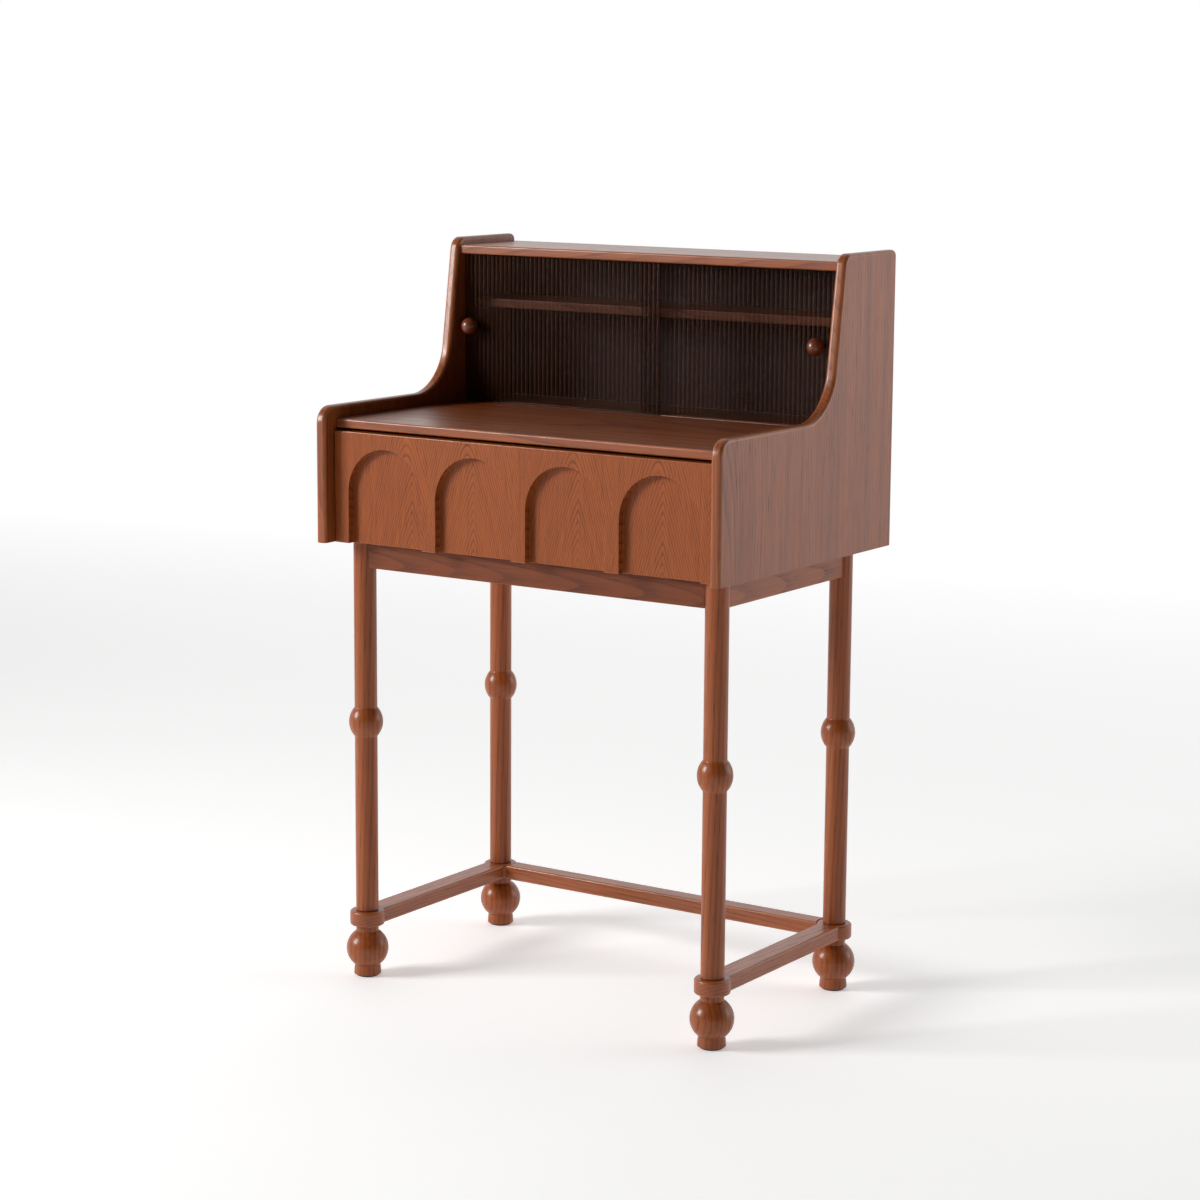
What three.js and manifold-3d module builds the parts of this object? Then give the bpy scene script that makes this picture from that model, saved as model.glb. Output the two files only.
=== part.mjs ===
// A small writing desk. Two S-shaped side panels carry a desk board, a top board and a shelf, with two
// sliding doors between the boards and one wide drawer below. The case stands on a turned base: round legs
// with a bead half way up, ball feet, aprons under the case and a low stretcher on three sides.
// Millimetres, +Z up, +X to the right and +Y to the back. The origin is on the floor, in the middle.

import * as THREE from "three";
import { mergeVertices } from "three/addons/utils/BufferGeometryUtils.js";
import Module from "manifold-3d";

const wasm = await Module();
wasm.setup();

// Clearances
const GAP = 0.3; // between glued or resting faces
const SHANK_PLAY = 0.3; // around a bolt, screw or pin, on the radius
const SLIDE_PLAY = 0.5; // around a tenon or panel in its groove

// Overall sizes
const WIDTH = 615;
const DEPTH = 425;
const DESK_HEIGHT = 750; // the writing surface
const HUTCH_RISE = 222; // side panels' top above the writing surface
const CASE_RISE = 161; // writing surface above the underside of the case
const ARM_RISE = 17; // side panel above the writing surface, at the front
const TOP_RECESS = 10; // top board below the side panels' top

// Case
const PANEL = 15; // side panel thickness
const PANEL_ROUND = 3;
const FRONT_CORNER = 22; // radius at the front of the arm
const SWEEP = 70; // radius of the hollow sweep
const LEAN = THREE.MathUtils.degToRad(8.2);
const HUTCH_DEPTH = 133; // side panel, at its top
const TOP_FRONT_CORNER = 16;
const TOP_BACK_CORNER = 8;
const BOARD = 12; // desk board, top board, case bottom and shelf
const DESK_SETBACK = 25; // desk board behind the side panels' front
const TOP_SETBACK = 129; // top board's front edge, from the back of the case
const BACK = 5; // back panels
const BACK_INSET = 6;
const BACK_GROOVE = 5;

// Doors
const GLASS = 4;
const DOOR_GAP = 10; // between the two doors
const FRONT_DOOR_SETBACK = 8; // front door behind the top board's front edge
const LOWER_GROOVE = 3.5;
const UPPER_GROOVE = 8;
const DOOR_SIDE_PLAY = 1;
const DOOR_OVERLAP = 38;
const DOOR_MEETING = 5; // the overlap's middle, right of the desk's middle
const KNOB_RADIUS = 11.5;
const KNOB_NECK = 5;
const KNOB_STAND = 13.5; // ball centre in front of the glass
const KNOB_DROP = 97; // ball centre below the top board
const FRONT_KNOB_INSET = 19; // ball centre from the left side panel
const REAR_KNOB_INSET = 34; // ball centre from the right side panel
const KNOB_SCREW = 2; // radius
const KNOB_SCREW_DEPTH = 10;

// Shelf
const SHELF_DROP = 73; // its top below the top board's top
const SHELF_SETBACK = 5; // behind the rear door
const PIN_RADIUS = 2.5;
const PIN_DEPTH = 8;
const PIN_REACH = 8;
const PIN_FROM_EDGE = 20;

// Drawer
const FRONT_SETBACK = 19; // drawer front behind the side panels' front
const FRONT_THICKNESS = 20;
const FRONT_SIDE_PLAY = 1.5;
const FRONT_TOP_PLAY = 3;
const ARCHES = 4;
const ARCH_PILLAR = 22.4; // wood between two arches and beside the outer ones
const ARCH_TOP = 20; // wood left above an arch
const ARCH_RECESS = 10;
const BOX_WALL = 12;
const BOX_HEIGHT = 100;
const BOX_BACK_PLAY = 15; // drawer box to the case back
const BOX_LIFT = 7; // above the case bottom
const BOX_BOTTOM = 5;
const BOX_BOTTOM_LIFT = 10;
const BOX_GROOVE = 5;

// Drawer runners
const RUNNER_WIDTH = 12.7;
const RUNNER_HEIGHT = 45;
const RUNNER_SHORT = 2; // runner's back end from the drawer box's
const RUNNER_WALL = 1.5;
const RUNNER_BALL = 1.4; // room for the balls between two members
const RUNNER_FRONT = 8; // runner behind the drawer front's back

// Base
const LEG_INSET = 36.5; // leg axis from the case's side
const LEG_FRONT = 55.5; // front leg axis from the case's front
const LEG_BACK = 65; // rear leg axis from the case's back
const LEG_RADIUS = 15;
const BEAD_RADIUS = 22.5;
const BEAD_RISE = 26; // half the bead's height
const BEAD_HEIGHT = 346.5;
const GLIDE = 2;
const GLIDE_RADIUS = 15;
const BALL_RADIUS = 28;
const BALL_HEIGHT = 37.7;
const SOLE_RADIUS = 18.3;
const SOLE_WAIST = 17.2;
const SOLE_HEIGHT = 13;
const STRETCHER_BOTTOM = 70;
const STRETCHER = 20; // thickness
const SIDE_RAIL = 32;
const REAR_RAIL = 26;
const BOSS_RADIUS = 23;
const RAIL_ROUND = 3;
const RAIL_TENON = 10;
const RAIL_TENON_HEIGHT = 8;
const RAIL_TENON_TIP = 9; // tenon's end from the leg axis
const BOLT_RADIUS = 4;
const BOLT_REACH = 28; // into the leg and into the foot
const APRON = 18;
const APRON_HEIGHT = 35;
const TENON = 8;
const TENON_HEIGHT = 25;
const TENON_TIP = 6; // tenon's end from the leg axis
const BLOCK_LEG = 48; // corner block along each apron
const BLOCK_HEIGHT = 28;
const BLOCK_CLEAR = 2; // corner block's near end from the leg's round
const SCREW_RADIUS = 2;
const SCREW_HEAD = 4.2;
const SCREW_HEAD_HEIGHT = 2.5;
const SCREW_BITE = 8; // into the case bottom

// Facets
const ROUND = 24;
const SMALL_ROUND = 12;
const ARC_STEPS = 8;
const BALL_STEPS = 12;
const OVERCUT = 1; // a cutting solid past the face it cuts

// Places that several parts share
const HEIGHT = DESK_HEIGHT + HUTCH_RISE;
const CASE_BOTTOM = DESK_HEIGHT - CASE_RISE;
const INNER = WIDTH / 2 - PANEL;
const FRONT_Y = -DEPTH / 2;
const BACK_Y = DEPTH / 2;
const ARM_TOP = DESK_HEIGHT + ARM_RISE;
const DESK_UNDER = DESK_HEIGHT - BOARD;
const TOP_BOARD_TOP = HEIGHT - TOP_RECESS;
const TOP_BOARD_UNDER = TOP_BOARD_TOP - BOARD;
const BOTTOM_TOP = CASE_BOTTOM + BOARD;
const TOP_FRONT_Y = BACK_Y - TOP_SETBACK;
const FRONT_DOOR_Y = TOP_FRONT_Y + FRONT_DOOR_SETBACK + GLASS / 2;
const REAR_DOOR_Y = FRONT_DOOR_Y + GLASS + DOOR_GAP;
const BACK_REAR_Y = BACK_Y - BACK_INSET;
const BACK_FRONT_Y = BACK_REAR_Y - BACK;
const DRAWER_FACE_Y = FRONT_Y + FRONT_SETBACK;
const DRAWER_REAR_Y = DRAWER_FACE_Y + FRONT_THICKNESS;
const DRAWER_BOX_BOTTOM = BOTTOM_TOP + BOX_LIFT;
const BOX_OUTER = INNER - RUNNER_WIDTH;
const BOX_BACK_Y = BACK_FRONT_Y - BOX_BACK_PLAY;
const DRAWER_HALF = INNER - FRONT_SIDE_PLAY;
const DRAWER_TOP = DESK_UNDER - FRONT_TOP_PLAY;
const ARCH_WIDTH = (2 * DRAWER_HALF - (ARCHES + 1) * ARCH_PILLAR) / ARCHES;
const BOX_FLOOR = DRAWER_BOX_BOTTOM + BOX_BOTTOM_LIFT;
const RUNNER_Z = DRAWER_BOX_BOTTOM + BOX_HEIGHT / 2;
const LEG_X = WIDTH / 2 - LEG_INSET;
const LEG_FRONT_Y = FRONT_Y + LEG_FRONT;
const LEG_BACK_Y = BACK_Y - LEG_BACK;
const STRETCHER_TOP = STRETCHER_BOTTOM + STRETCHER;
const LEG_TOP = CASE_BOTTOM - GAP;
const APRON_BOTTOM = LEG_TOP - APRON_HEIGHT;
const TENON_BOTTOM = LEG_TOP - (APRON_HEIGHT + TENON_HEIGHT) / 2;
const BLOCK_BOTTOM = LEG_TOP - BLOCK_HEIGHT;
const BLOCK_SHOULDER = LEG_RADIUS + BLOCK_CLEAR;
const BLOCK_HOLE = (BLOCK_LEG + BLOCK_SHOULDER) / 3;
// Each corner's side and end, and the quarter turns that bring a front left corner piece to it.
const CORNERS = [
  { name: "front_left", sx: -1, sy: -1, turns: 0 },
  { name: "front_right", sx: 1, sy: -1, turns: 1 },
  { name: "rear_right", sx: 1, sy: 1, turns: 2 },
  { name: "rear_left", sx: -1, sy: 1, turns: 3 },
];
const SIDES = [
  { name: "left", sx: -1 },
  { name: "right", sx: 1 },
];

const desk = new THREE.Group();

function finish(color, roughness, metalness = 0) {
  return new THREE.MeshStandardMaterial({ color, roughness, metalness });
}
const stainedAsh = () => finish(0x96552f, 0.38);
const drawerWood = () => finish(0xc9a878, 0.55);
const smokedGlass = () => finish(0x2a1c16, 0.12);
const steel = () => finish(0x9a9ca0, 0.32, 0.9);
const felt = () => finish(0x2b241f, 0.95);

function add(name, geometry, material) {
  const mesh = new THREE.Mesh(geometry, material);
  mesh.name = name;
  desk.add(mesh);
}

// A closed geometry becomes a solid for cutting and joining.
function solid(geometry) {
  const bare = geometry.clone();
  bare.deleteAttribute("normal");
  bare.deleteAttribute("uv");
  const merged = mergeVertices(bare);
  const corners = merged.index.array;
  const kept = [];
  for (let i = 0; i < corners.length; i += 3) {
    const [a, b, c] = corners.slice(i, i + 3);
    if (a !== b && b !== c && c !== a) kept.push(a, b, c);
  }
  return new wasm.Manifold(
    new wasm.Mesh({
      numProp: 3,
      vertProperties: new Float32Array(merged.attributes.position.array),
      triVerts: new Uint32Array(kept),
    }),
  );
}

function geometryOf(shape) {
  const mesh = shape.getMesh();
  const geometry = new THREE.BufferGeometry();
  geometry.setAttribute("position", new THREE.BufferAttribute(mesh.vertProperties, 3));
  geometry.setIndex(new THREE.BufferAttribute(mesh.triVerts, 1));
  geometry.computeVertexNormals();
  return geometry;
}

function cut(geometry, tools) {
  return geometryOf(tools.reduce((shape, tool) => shape.subtract(solid(tool)), solid(geometry)));
}

function join(geometries) {
  return geometryOf(geometries.map(solid).reduce((a, b) => a.add(b)));
}

// A box from its ranges along X, Y and Z.
function block([x0, x1], [y0, y1], [z0, z1]) {
  const geometry = new THREE.BoxGeometry(Math.abs(x1 - x0), Math.abs(y1 - y0), Math.abs(z1 - z0));
  return geometry.translate((x0 + x1) / 2, (y0 + y1) / 2, (z0 + z1) / 2);
}

// A turned shape about the Z axis, from [radius, height] points that run upwards from the axis to the axis.
function turned(profile, facets) {
  const points = profile.map(([r, z]) => new THREE.Vector2(r, z));
  return new THREE.LatheGeometry(points, facets).rotateX(Math.PI / 2);
}

function rod(radius, [z0, z1], facets = SMALL_ROUND) {
  return turned([[0, z0], [radius, z0], [radius, z1], [0, z1]], facets);
}

// A flat outline in X and Y, with an optional rounded edge, from height z0 to z1.
function slab(shape, [z0, z1], round = 0) {
  return new THREE.ExtrudeGeometry(shape, {
    depth: z1 - z0 - 2 * round,
    curveSegments: ARC_STEPS,
    bevelEnabled: round > 0,
    bevelThickness: round,
    bevelSize: round,
    bevelOffset: -round,
    bevelSegments: 2,
  }).translate(0, 0, z0 + round);
}

// Turns a slab so that its X, Y and Z run along the desk's Y, Z and X.
function sideways(geometry) {
  const turn = new THREE.Matrix4().makeBasis(
    new THREE.Vector3(0, 1, 0),
    new THREE.Vector3(0, 0, 1),
    new THREE.Vector3(1, 0, 0),
  );
  return geometry.applyMatrix4(turn);
}

// Points on an upright ellipse, from one height to another.
function bulge(radius, rise, middle, from, to, steps) {
  const points = [];
  const start = Math.asin((from - middle) / rise);
  const end = Math.asin((to - middle) / rise);
  for (let i = 0; i <= steps; i++) {
    const angle = start + ((end - start) * i) / steps;
    points.push([radius * Math.cos(angle), middle + rise * Math.sin(angle)]);
  }
  return points;
}

// The height above its middle at which an upright ellipse is as wide as radius r.
function halfRise(radius, rise, r) {
  return rise * Math.sqrt(1 - (r / radius) ** 2);
}

// ---- Case ----

// The side panel's outline: a low arm, a hollow sweep and a tall back that leans.
function panelOutline() {
  const topFront = BACK_Y - HUTCH_DEPTH;
  const sweepRise = SWEEP * (1 - Math.sin(LEAN));
  const leanRun = (HEIGHT - ARM_TOP - sweepRise) * Math.tan(LEAN);
  const sweepY = topFront - leanRun - SWEEP * Math.cos(LEAN);
  const cornerRun = TOP_FRONT_CORNER / Math.tan((Math.PI / 2 + LEAN) / 2);
  const outline = new THREE.Shape();
  outline.moveTo(FRONT_Y, CASE_BOTTOM);
  outline.lineTo(FRONT_Y, ARM_TOP - FRONT_CORNER);
  outline.absarc(FRONT_Y + FRONT_CORNER, ARM_TOP - FRONT_CORNER, FRONT_CORNER, Math.PI, Math.PI / 2, true);
  outline.absarc(sweepY, ARM_TOP + SWEEP, SWEEP, -Math.PI / 2, -LEAN, false);
  outline.absarc(
    topFront + cornerRun, HEIGHT - TOP_FRONT_CORNER, TOP_FRONT_CORNER, Math.PI - LEAN, Math.PI / 2, true,
  );
  outline.absarc(BACK_Y - TOP_BACK_CORNER, HEIGHT - TOP_BACK_CORNER, TOP_BACK_CORNER, Math.PI / 2, 0, true);
  outline.lineTo(BACK_Y, CASE_BOTTOM);
  outline.closePath();
  return outline;
}

function shelfPinPlaces() {
  const front = shelfFront() + PIN_FROM_EDGE;
  const back = BACK_FRONT_Y - PIN_FROM_EDGE;
  return [
    { name: "front", y: front },
    { name: "rear", y: back },
  ];
}

const shelfFront = () => REAR_DOOR_Y + GLASS / 2 + SHELF_SETBACK;
const shelfTop = () => TOP_BOARD_TOP - SHELF_DROP;
const pinZ = () => shelfTop() - BOARD - GAP - PIN_RADIUS;

function shelfPin(sx, y, play) {
  const reach = [INNER - PIN_REACH, INNER + PIN_DEPTH + play];
  const pin = rod(PIN_RADIUS + play, reach).rotateY((sx * Math.PI) / 2);
  return pin.translate(0, y, pinZ());
}

function sidePanel(sx) {
  const plate = sideways(slab(panelOutline(), [-PANEL / 2, PANEL / 2], PANEL_ROUND));
  plate.translate(sx * (INNER + PANEL / 2), 0, 0);
  const groove = block(
    [sx * (INNER - OVERCUT), sx * (INNER + BACK_GROOVE)],
    [BACK_FRONT_Y - SLIDE_PLAY, BACK_REAR_Y + SLIDE_PLAY],
    [BOTTOM_TOP, TOP_BOARD_UNDER],
  );
  const holes = shelfPinPlaces().map(({ y }) => shelfPin(sx, y, SHANK_PLAY));
  return cut(plate, [groove, ...holes]);
}

function doorGroove(y, zRange) {
  const half = GLASS / 2 + SLIDE_PLAY;
  return block([-WIDTH / 2, WIDTH / 2], [y - half, y + half], zRange);
}

function caseBoard(yFront, [z0, z1]) {
  return block([-INNER + GAP, INNER - GAP], [yFront, BACK_Y], [z0, z1]);
}

function deskBoard() {
  const board = caseBoard(FRONT_Y + DESK_SETBACK, [DESK_UNDER, DESK_HEIGHT]);
  const groove = [DESK_HEIGHT - LOWER_GROOVE, DESK_HEIGHT + OVERCUT];
  return cut(board, [doorGroove(FRONT_DOOR_Y, groove), doorGroove(REAR_DOOR_Y, groove)]);
}

function topBoard() {
  const board = caseBoard(TOP_FRONT_Y, [TOP_BOARD_UNDER, TOP_BOARD_TOP]);
  const groove = [TOP_BOARD_UNDER - OVERCUT, TOP_BOARD_UNDER + UPPER_GROOVE];
  return cut(board, [doorGroove(FRONT_DOOR_Y, groove), doorGroove(REAR_DOOR_Y, groove)]);
}

function backPanel([z0, z1]) {
  const half = INNER + BACK_GROOVE - SLIDE_PLAY;
  return block([-half, half], [BACK_FRONT_Y, BACK_REAR_Y], [z0 + GAP, z1 - GAP]);
}

const legY = (sy) => (sy < 0 ? LEG_FRONT_Y : LEG_BACK_Y);

// A case screw stands inside its leg, along the diagonal.
function caseScrewPlace({ sx, sy }) {
  return [sx * (LEG_X - BLOCK_HOLE), legY(sy) - sy * BLOCK_HOLE];
}

function caseBottom() {
  const board = caseBoard(DRAWER_REAR_Y + FRONT_SIDE_PLAY, [CASE_BOTTOM, BOTTOM_TOP]);
  const holes = CORNERS.map((corner) =>
    rod(SCREW_RADIUS + SHANK_PLAY, [CASE_BOTTOM - OVERCUT, CASE_BOTTOM + SCREW_BITE + SHANK_PLAY])
      .translate(...caseScrewPlace(corner), 0),
  );
  return cut(board, holes);
}

function addCase() {
  for (const { name, sx } of SIDES) {
    add(`side_panel_${name}`, sidePanel(sx), stainedAsh());
    for (const pin of shelfPinPlaces()) {
      add(`shelf_pin_${pin.name}_${name}`, shelfPin(sx, pin.y, 0), steel());
    }
  }
  add("desk_board", deskBoard(), stainedAsh());
  add("top_board", topBoard(), stainedAsh());
  add("case_bottom", caseBottom(), stainedAsh());
  add("case_back", backPanel([BOTTOM_TOP, DESK_UNDER]), stainedAsh());
  add("hutch_back", backPanel([DESK_HEIGHT, TOP_BOARD_UNDER]), stainedAsh());
  const shelf = block(
    [-INNER + GAP, INNER - GAP], [shelfFront(), BACK_FRONT_Y - GAP], [shelfTop() - BOARD, shelfTop()],
  );
  add("hutch_shelf", shelf, stainedAsh());
}

// ---- Sliding doors ----

// A turned shape about the Z axis stands on the glass and points to the front.
function onGlass(geometry, x, y) {
  return geometry.rotateX(Math.PI / 2).translate(x, y, TOP_BOARD_UNDER - KNOB_DROP);
}

function doorGlass([x0, x1], y, knobX) {
  const z = [DESK_HEIGHT - LOWER_GROOVE + SLIDE_PLAY, TOP_BOARD_UNDER + LOWER_GROOVE];
  const plate = block([x0, x1], [y - GLASS / 2, y + GLASS / 2], z);
  const hole = onGlass(rod(KNOB_SCREW + SHANK_PLAY, [-GLASS, GLASS]), knobX, y);
  return cut(plate, [hole]);
}

function knob(x, y) {
  const seat = GLASS / 2 + GAP;
  const centre = GLASS / 2 + KNOB_STAND;
  const neckTop = centre - halfRise(KNOB_RADIUS, KNOB_RADIUS, KNOB_NECK);
  const ball = bulge(KNOB_RADIUS, KNOB_RADIUS, centre, neckTop, centre + KNOB_RADIUS, ARC_STEPS);
  ball[ball.length - 1][0] = 0;
  const body = turned([[0, seat], [KNOB_NECK, seat], ...ball], ROUND);
  const bore = rod(KNOB_SCREW + SHANK_PLAY, [0, GLASS / 2 + KNOB_SCREW_DEPTH + GAP]);
  return onGlass(cut(body, [bore]), x, y);
}

function knobScrew(x, y) {
  const head = -GLASS / 2 - GAP;
  const profile = [
    [0, head - SCREW_HEAD_HEIGHT], [SCREW_HEAD, head - SCREW_HEAD_HEIGHT], [SCREW_HEAD, head],
    [KNOB_SCREW, head], [KNOB_SCREW, GLASS / 2 + KNOB_SCREW_DEPTH], [0, GLASS / 2 + KNOB_SCREW_DEPTH],
  ];
  return onGlass(turned(profile, SMALL_ROUND), x, y);
}

function addDoor(name, xRange, y, knobX) {
  add(`${name}_door_glass`, doorGlass(xRange, y, knobX), smokedGlass());
  add(`${name}_door_knob`, knob(knobX, y), stainedAsh());
  add(`${name}_door_knob_screw`, knobScrew(knobX, y), steel());
}

function addDoors() {
  const edge = INNER - DOOR_SIDE_PLAY;
  const half = DOOR_OVERLAP / 2;
  addDoor("front", [-edge, DOOR_MEETING + half], FRONT_DOOR_Y, -INNER + FRONT_KNOB_INSET);
  addDoor("rear", [DOOR_MEETING - half, edge], REAR_DOOR_Y, INNER - REAR_KNOB_INSET);
}

// ---- Drawer ----

function archShape(x, bottom, top) {
  const radius = ARCH_WIDTH / 2;
  const shape = new THREE.Shape();
  shape.moveTo(x - radius, bottom);
  shape.lineTo(x + radius, bottom);
  shape.absarc(x, top - radius, radius, 0, Math.PI, false);
  shape.closePath();
  return shape;
}

function bottomGrooveZ() {
  return [BOX_FLOOR - SLIDE_PLAY, BOX_FLOOR + BOX_BOTTOM + SLIDE_PLAY];
}

function drawerFront() {
  const panel = block([-DRAWER_HALF, DRAWER_HALF], [DRAWER_FACE_Y, DRAWER_REAR_Y], [CASE_BOTTOM, DRAWER_TOP]);
  const tools = [];
  for (let i = 0; i < ARCHES; i++) {
    const x = (i - (ARCHES - 1) / 2) * (ARCH_WIDTH + ARCH_PILLAR);
    const arch = slab(archShape(x, CASE_BOTTOM - OVERCUT, DRAWER_TOP - ARCH_TOP), [0, ARCH_RECESS + OVERCUT]);
    tools.push(arch.rotateX(Math.PI / 2).translate(0, DRAWER_FACE_Y + ARCH_RECESS, 0));
  }
  const inner = BOX_OUTER - BOX_WALL + BOX_GROOVE;
  tools.push(block([-inner, inner], [DRAWER_REAR_Y - BOX_GROOVE, DRAWER_REAR_Y + OVERCUT], bottomGrooveZ()));
  return cut(panel, tools);
}

function drawerSide(sx) {
  const inner = BOX_OUTER - BOX_WALL;
  const board = block(
    [sx * inner, sx * (BOX_OUTER - GAP)],
    [DRAWER_REAR_Y + GAP, BOX_BACK_Y],
    [DRAWER_BOX_BOTTOM, DRAWER_BOX_BOTTOM + BOX_HEIGHT],
  );
  const groove = block(
    [sx * (inner - OVERCUT), sx * (inner + BOX_GROOVE)],
    [DRAWER_REAR_Y, BOX_BACK_Y + OVERCUT],
    bottomGrooveZ(),
  );
  return cut(board, [groove]);
}

function addDrawer() {
  add("drawer_front", drawerFront(), stainedAsh());
  for (const { name, sx } of SIDES) add(`drawer_side_${name}`, drawerSide(sx), drawerWood());
  const inner = BOX_OUTER - BOX_WALL - GAP;
  const floorTop = BOX_FLOOR + BOX_BOTTOM;
  const back = block(
    [-inner, inner], [BOX_BACK_Y - BOX_WALL, BOX_BACK_Y], [floorTop + GAP, DRAWER_BOX_BOTTOM + BOX_HEIGHT],
  );
  add("drawer_back", back, drawerWood());
  const reach = BOX_OUTER - BOX_WALL + BOX_GROOVE - SLIDE_PLAY;
  const floor = block(
    [-reach, reach], [DRAWER_REAR_Y - BOX_GROOVE + SLIDE_PLAY, BOX_BACK_Y], [BOX_FLOOR, floorTop],
  );
  add("drawer_bottom", floor, drawerWood());
}

// One member of a telescopic runner: a channel whose web stands at webX, with flanges to flangeX.
function runnerMember(sx, webX, flangeX, height) {
  const y = [DRAWER_REAR_Y + RUNNER_FRONT, BOX_BACK_Y - RUNNER_SHORT];
  const toFlange = Math.sign(flangeX - webX);
  const body = block([sx * webX, sx * flangeX], y, [RUNNER_Z - height / 2, RUNNER_Z + height / 2]);
  const hollow = block(
    [sx * (webX + toFlange * RUNNER_WALL), sx * (flangeX + toFlange * OVERCUT)],
    [y[0] - OVERCUT, y[1] + OVERCUT],
    [RUNNER_Z - height / 2 + RUNNER_WALL, RUNNER_Z + height / 2 - RUNNER_WALL],
  );
  return cut(body, [hollow]);
}

function addRunners() {
  const step = 2 * (RUNNER_WALL + RUNNER_BALL);
  const caseWeb = INNER - GAP;
  const drawerWeb = BOX_OUTER;
  const middleWeb = caseWeb - RUNNER_WALL - RUNNER_BALL;
  for (const { name, sx } of SIDES) {
    const outer = runnerMember(sx, caseWeb, drawerWeb + RUNNER_WALL, RUNNER_HEIGHT);
    const middle = runnerMember(sx, middleWeb, drawerWeb + RUNNER_WALL, RUNNER_HEIGHT - step);
    const inner = runnerMember(
      sx, drawerWeb, middleWeb - RUNNER_WALL - RUNNER_BALL, RUNNER_HEIGHT - 2 * step,
    );
    add(`runner_case_member_${name}`, outer, steel());
    add(`runner_middle_member_${name}`, middle, steel());
    add(`runner_drawer_member_${name}`, inner, steel());
  }
}

// ---- Base ----

function legPost({ sx, sy }) {
  const bottom = STRETCHER_TOP + GAP;
  const rise = halfRise(BEAD_RADIUS, BEAD_RISE, LEG_RADIUS);
  const bead = bulge(BEAD_RADIUS, BEAD_RISE, BEAD_HEIGHT, BEAD_HEIGHT - rise, BEAD_HEIGHT + rise, ARC_STEPS);
  const post = turned([[0, bottom], [LEG_RADIUS, bottom], ...bead, [LEG_RADIUS, LEG_TOP], [0, LEG_TOP]], ROUND);
  const bolt = rod(BOLT_RADIUS + SHANK_PLAY, [bottom - OVERCUT, STRETCHER_TOP + BOLT_REACH + SHANK_PLAY]);
  const tip = TENON_TIP - SLIDE_PLAY;
  const half = TENON / 2 + SLIDE_PLAY;
  const z = [TENON_BOTTOM - SLIDE_PLAY, TENON_BOTTOM + TENON_HEIGHT + SLIDE_PLAY];
  const sideMortise = block([-sx * tip, -sx * 2 * LEG_RADIUS], [-half, half], z);
  const endMortise = block([-half, half], [-sy * tip, -sy * 2 * LEG_RADIUS], z);
  return cut(post, [bolt, sideMortise, endMortise]).translate(sx * LEG_X, legY(sy), 0);
}

function foot({ sx, sy }) {
  const bottom = GLIDE + GAP;
  const top = STRETCHER_BOTTOM - GAP;
  const low = BALL_HEIGHT - halfRise(BALL_RADIUS, BALL_RADIUS, SOLE_WAIST);
  const high = BALL_HEIGHT + halfRise(BALL_RADIUS, BALL_RADIUS, LEG_RADIUS);
  const ball = bulge(BALL_RADIUS, BALL_RADIUS, BALL_HEIGHT, low, high, BALL_STEPS);
  const profile = [
    [0, bottom], [SOLE_RADIUS - 1, bottom], [SOLE_RADIUS, bottom + 1], [SOLE_WAIST, SOLE_HEIGHT],
    ...ball, [LEG_RADIUS, top], [0, top],
  ];
  const bolt = rod(BOLT_RADIUS + SHANK_PLAY, [STRETCHER_BOTTOM - BOLT_REACH - SHANK_PLAY, top + OVERCUT]);
  return cut(turned(profile, ROUND), [bolt]).translate(sx * LEG_X, legY(sy), 0);
}

// A bar along X or Y, centred on the origin, from its length, width and heights.
function bar(axis, length, width, z) {
  const along = [-length / 2, length / 2];
  const across = [-width / 2, width / 2];
  return axis === "x" ? block(along, across, z) : block(across, along, z);
}

// The bar's two ends are scribed to upright rounds, and a tenon through it enters the pieces beyond them.
function scribedRail({ axis, length, rail, roundRadius, tenonBar }) {
  const scribes = [-length / 2, length / 2].map((place) => {
    const round = rod(roundRadius + GAP, [-OVERCUT, HEIGHT], ROUND);
    return axis === "x" ? round.translate(place, 0, 0) : round.translate(0, place, 0);
  });
  return join([cut(rail, scribes), tenonBar]);
}

function apron(axis, length) {
  return scribedRail({
    axis,
    length,
    rail: bar(axis, length, APRON, [APRON_BOTTOM, LEG_TOP]),
    roundRadius: LEG_RADIUS,
    tenonBar: bar(axis, length - 2 * TENON_TIP, TENON, [TENON_BOTTOM, TENON_BOTTOM + TENON_HEIGHT]),
  });
}

function addAprons() {
  const span = LEG_BACK_Y - LEG_FRONT_Y;
  const middle = (LEG_BACK_Y + LEG_FRONT_Y) / 2;
  add("front_apron", apron("x", 2 * LEG_X).translate(0, LEG_FRONT_Y, 0), stainedAsh());
  add("rear_apron", apron("x", 2 * LEG_X).translate(0, LEG_BACK_Y, 0), stainedAsh());
  for (const { name, sx } of SIDES) {
    add(`${name}_apron`, apron("y", span).translate(sx * LEG_X, middle, 0), stainedAsh());
  }
}

function cornerBlock({ sx, sy, turns }) {
  const near = APRON / 2 + GAP;
  const outline = new THREE.Shape();
  outline.moveTo(near, BLOCK_SHOULDER);
  outline.lineTo(BLOCK_SHOULDER, near);
  outline.lineTo(BLOCK_LEG, near);
  outline.lineTo(near, BLOCK_LEG);
  outline.closePath();
  const hole = rod(SCREW_RADIUS + SHANK_PLAY, [BLOCK_BOTTOM - OVERCUT, LEG_TOP + OVERCUT]);
  hole.translate(BLOCK_HOLE, BLOCK_HOLE, 0);
  return cut(slab(outline, [BLOCK_BOTTOM, LEG_TOP]), [hole])
    .rotateZ((turns * Math.PI) / 2)
    .translate(sx * LEG_X, legY(sy), 0);
}

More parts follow.
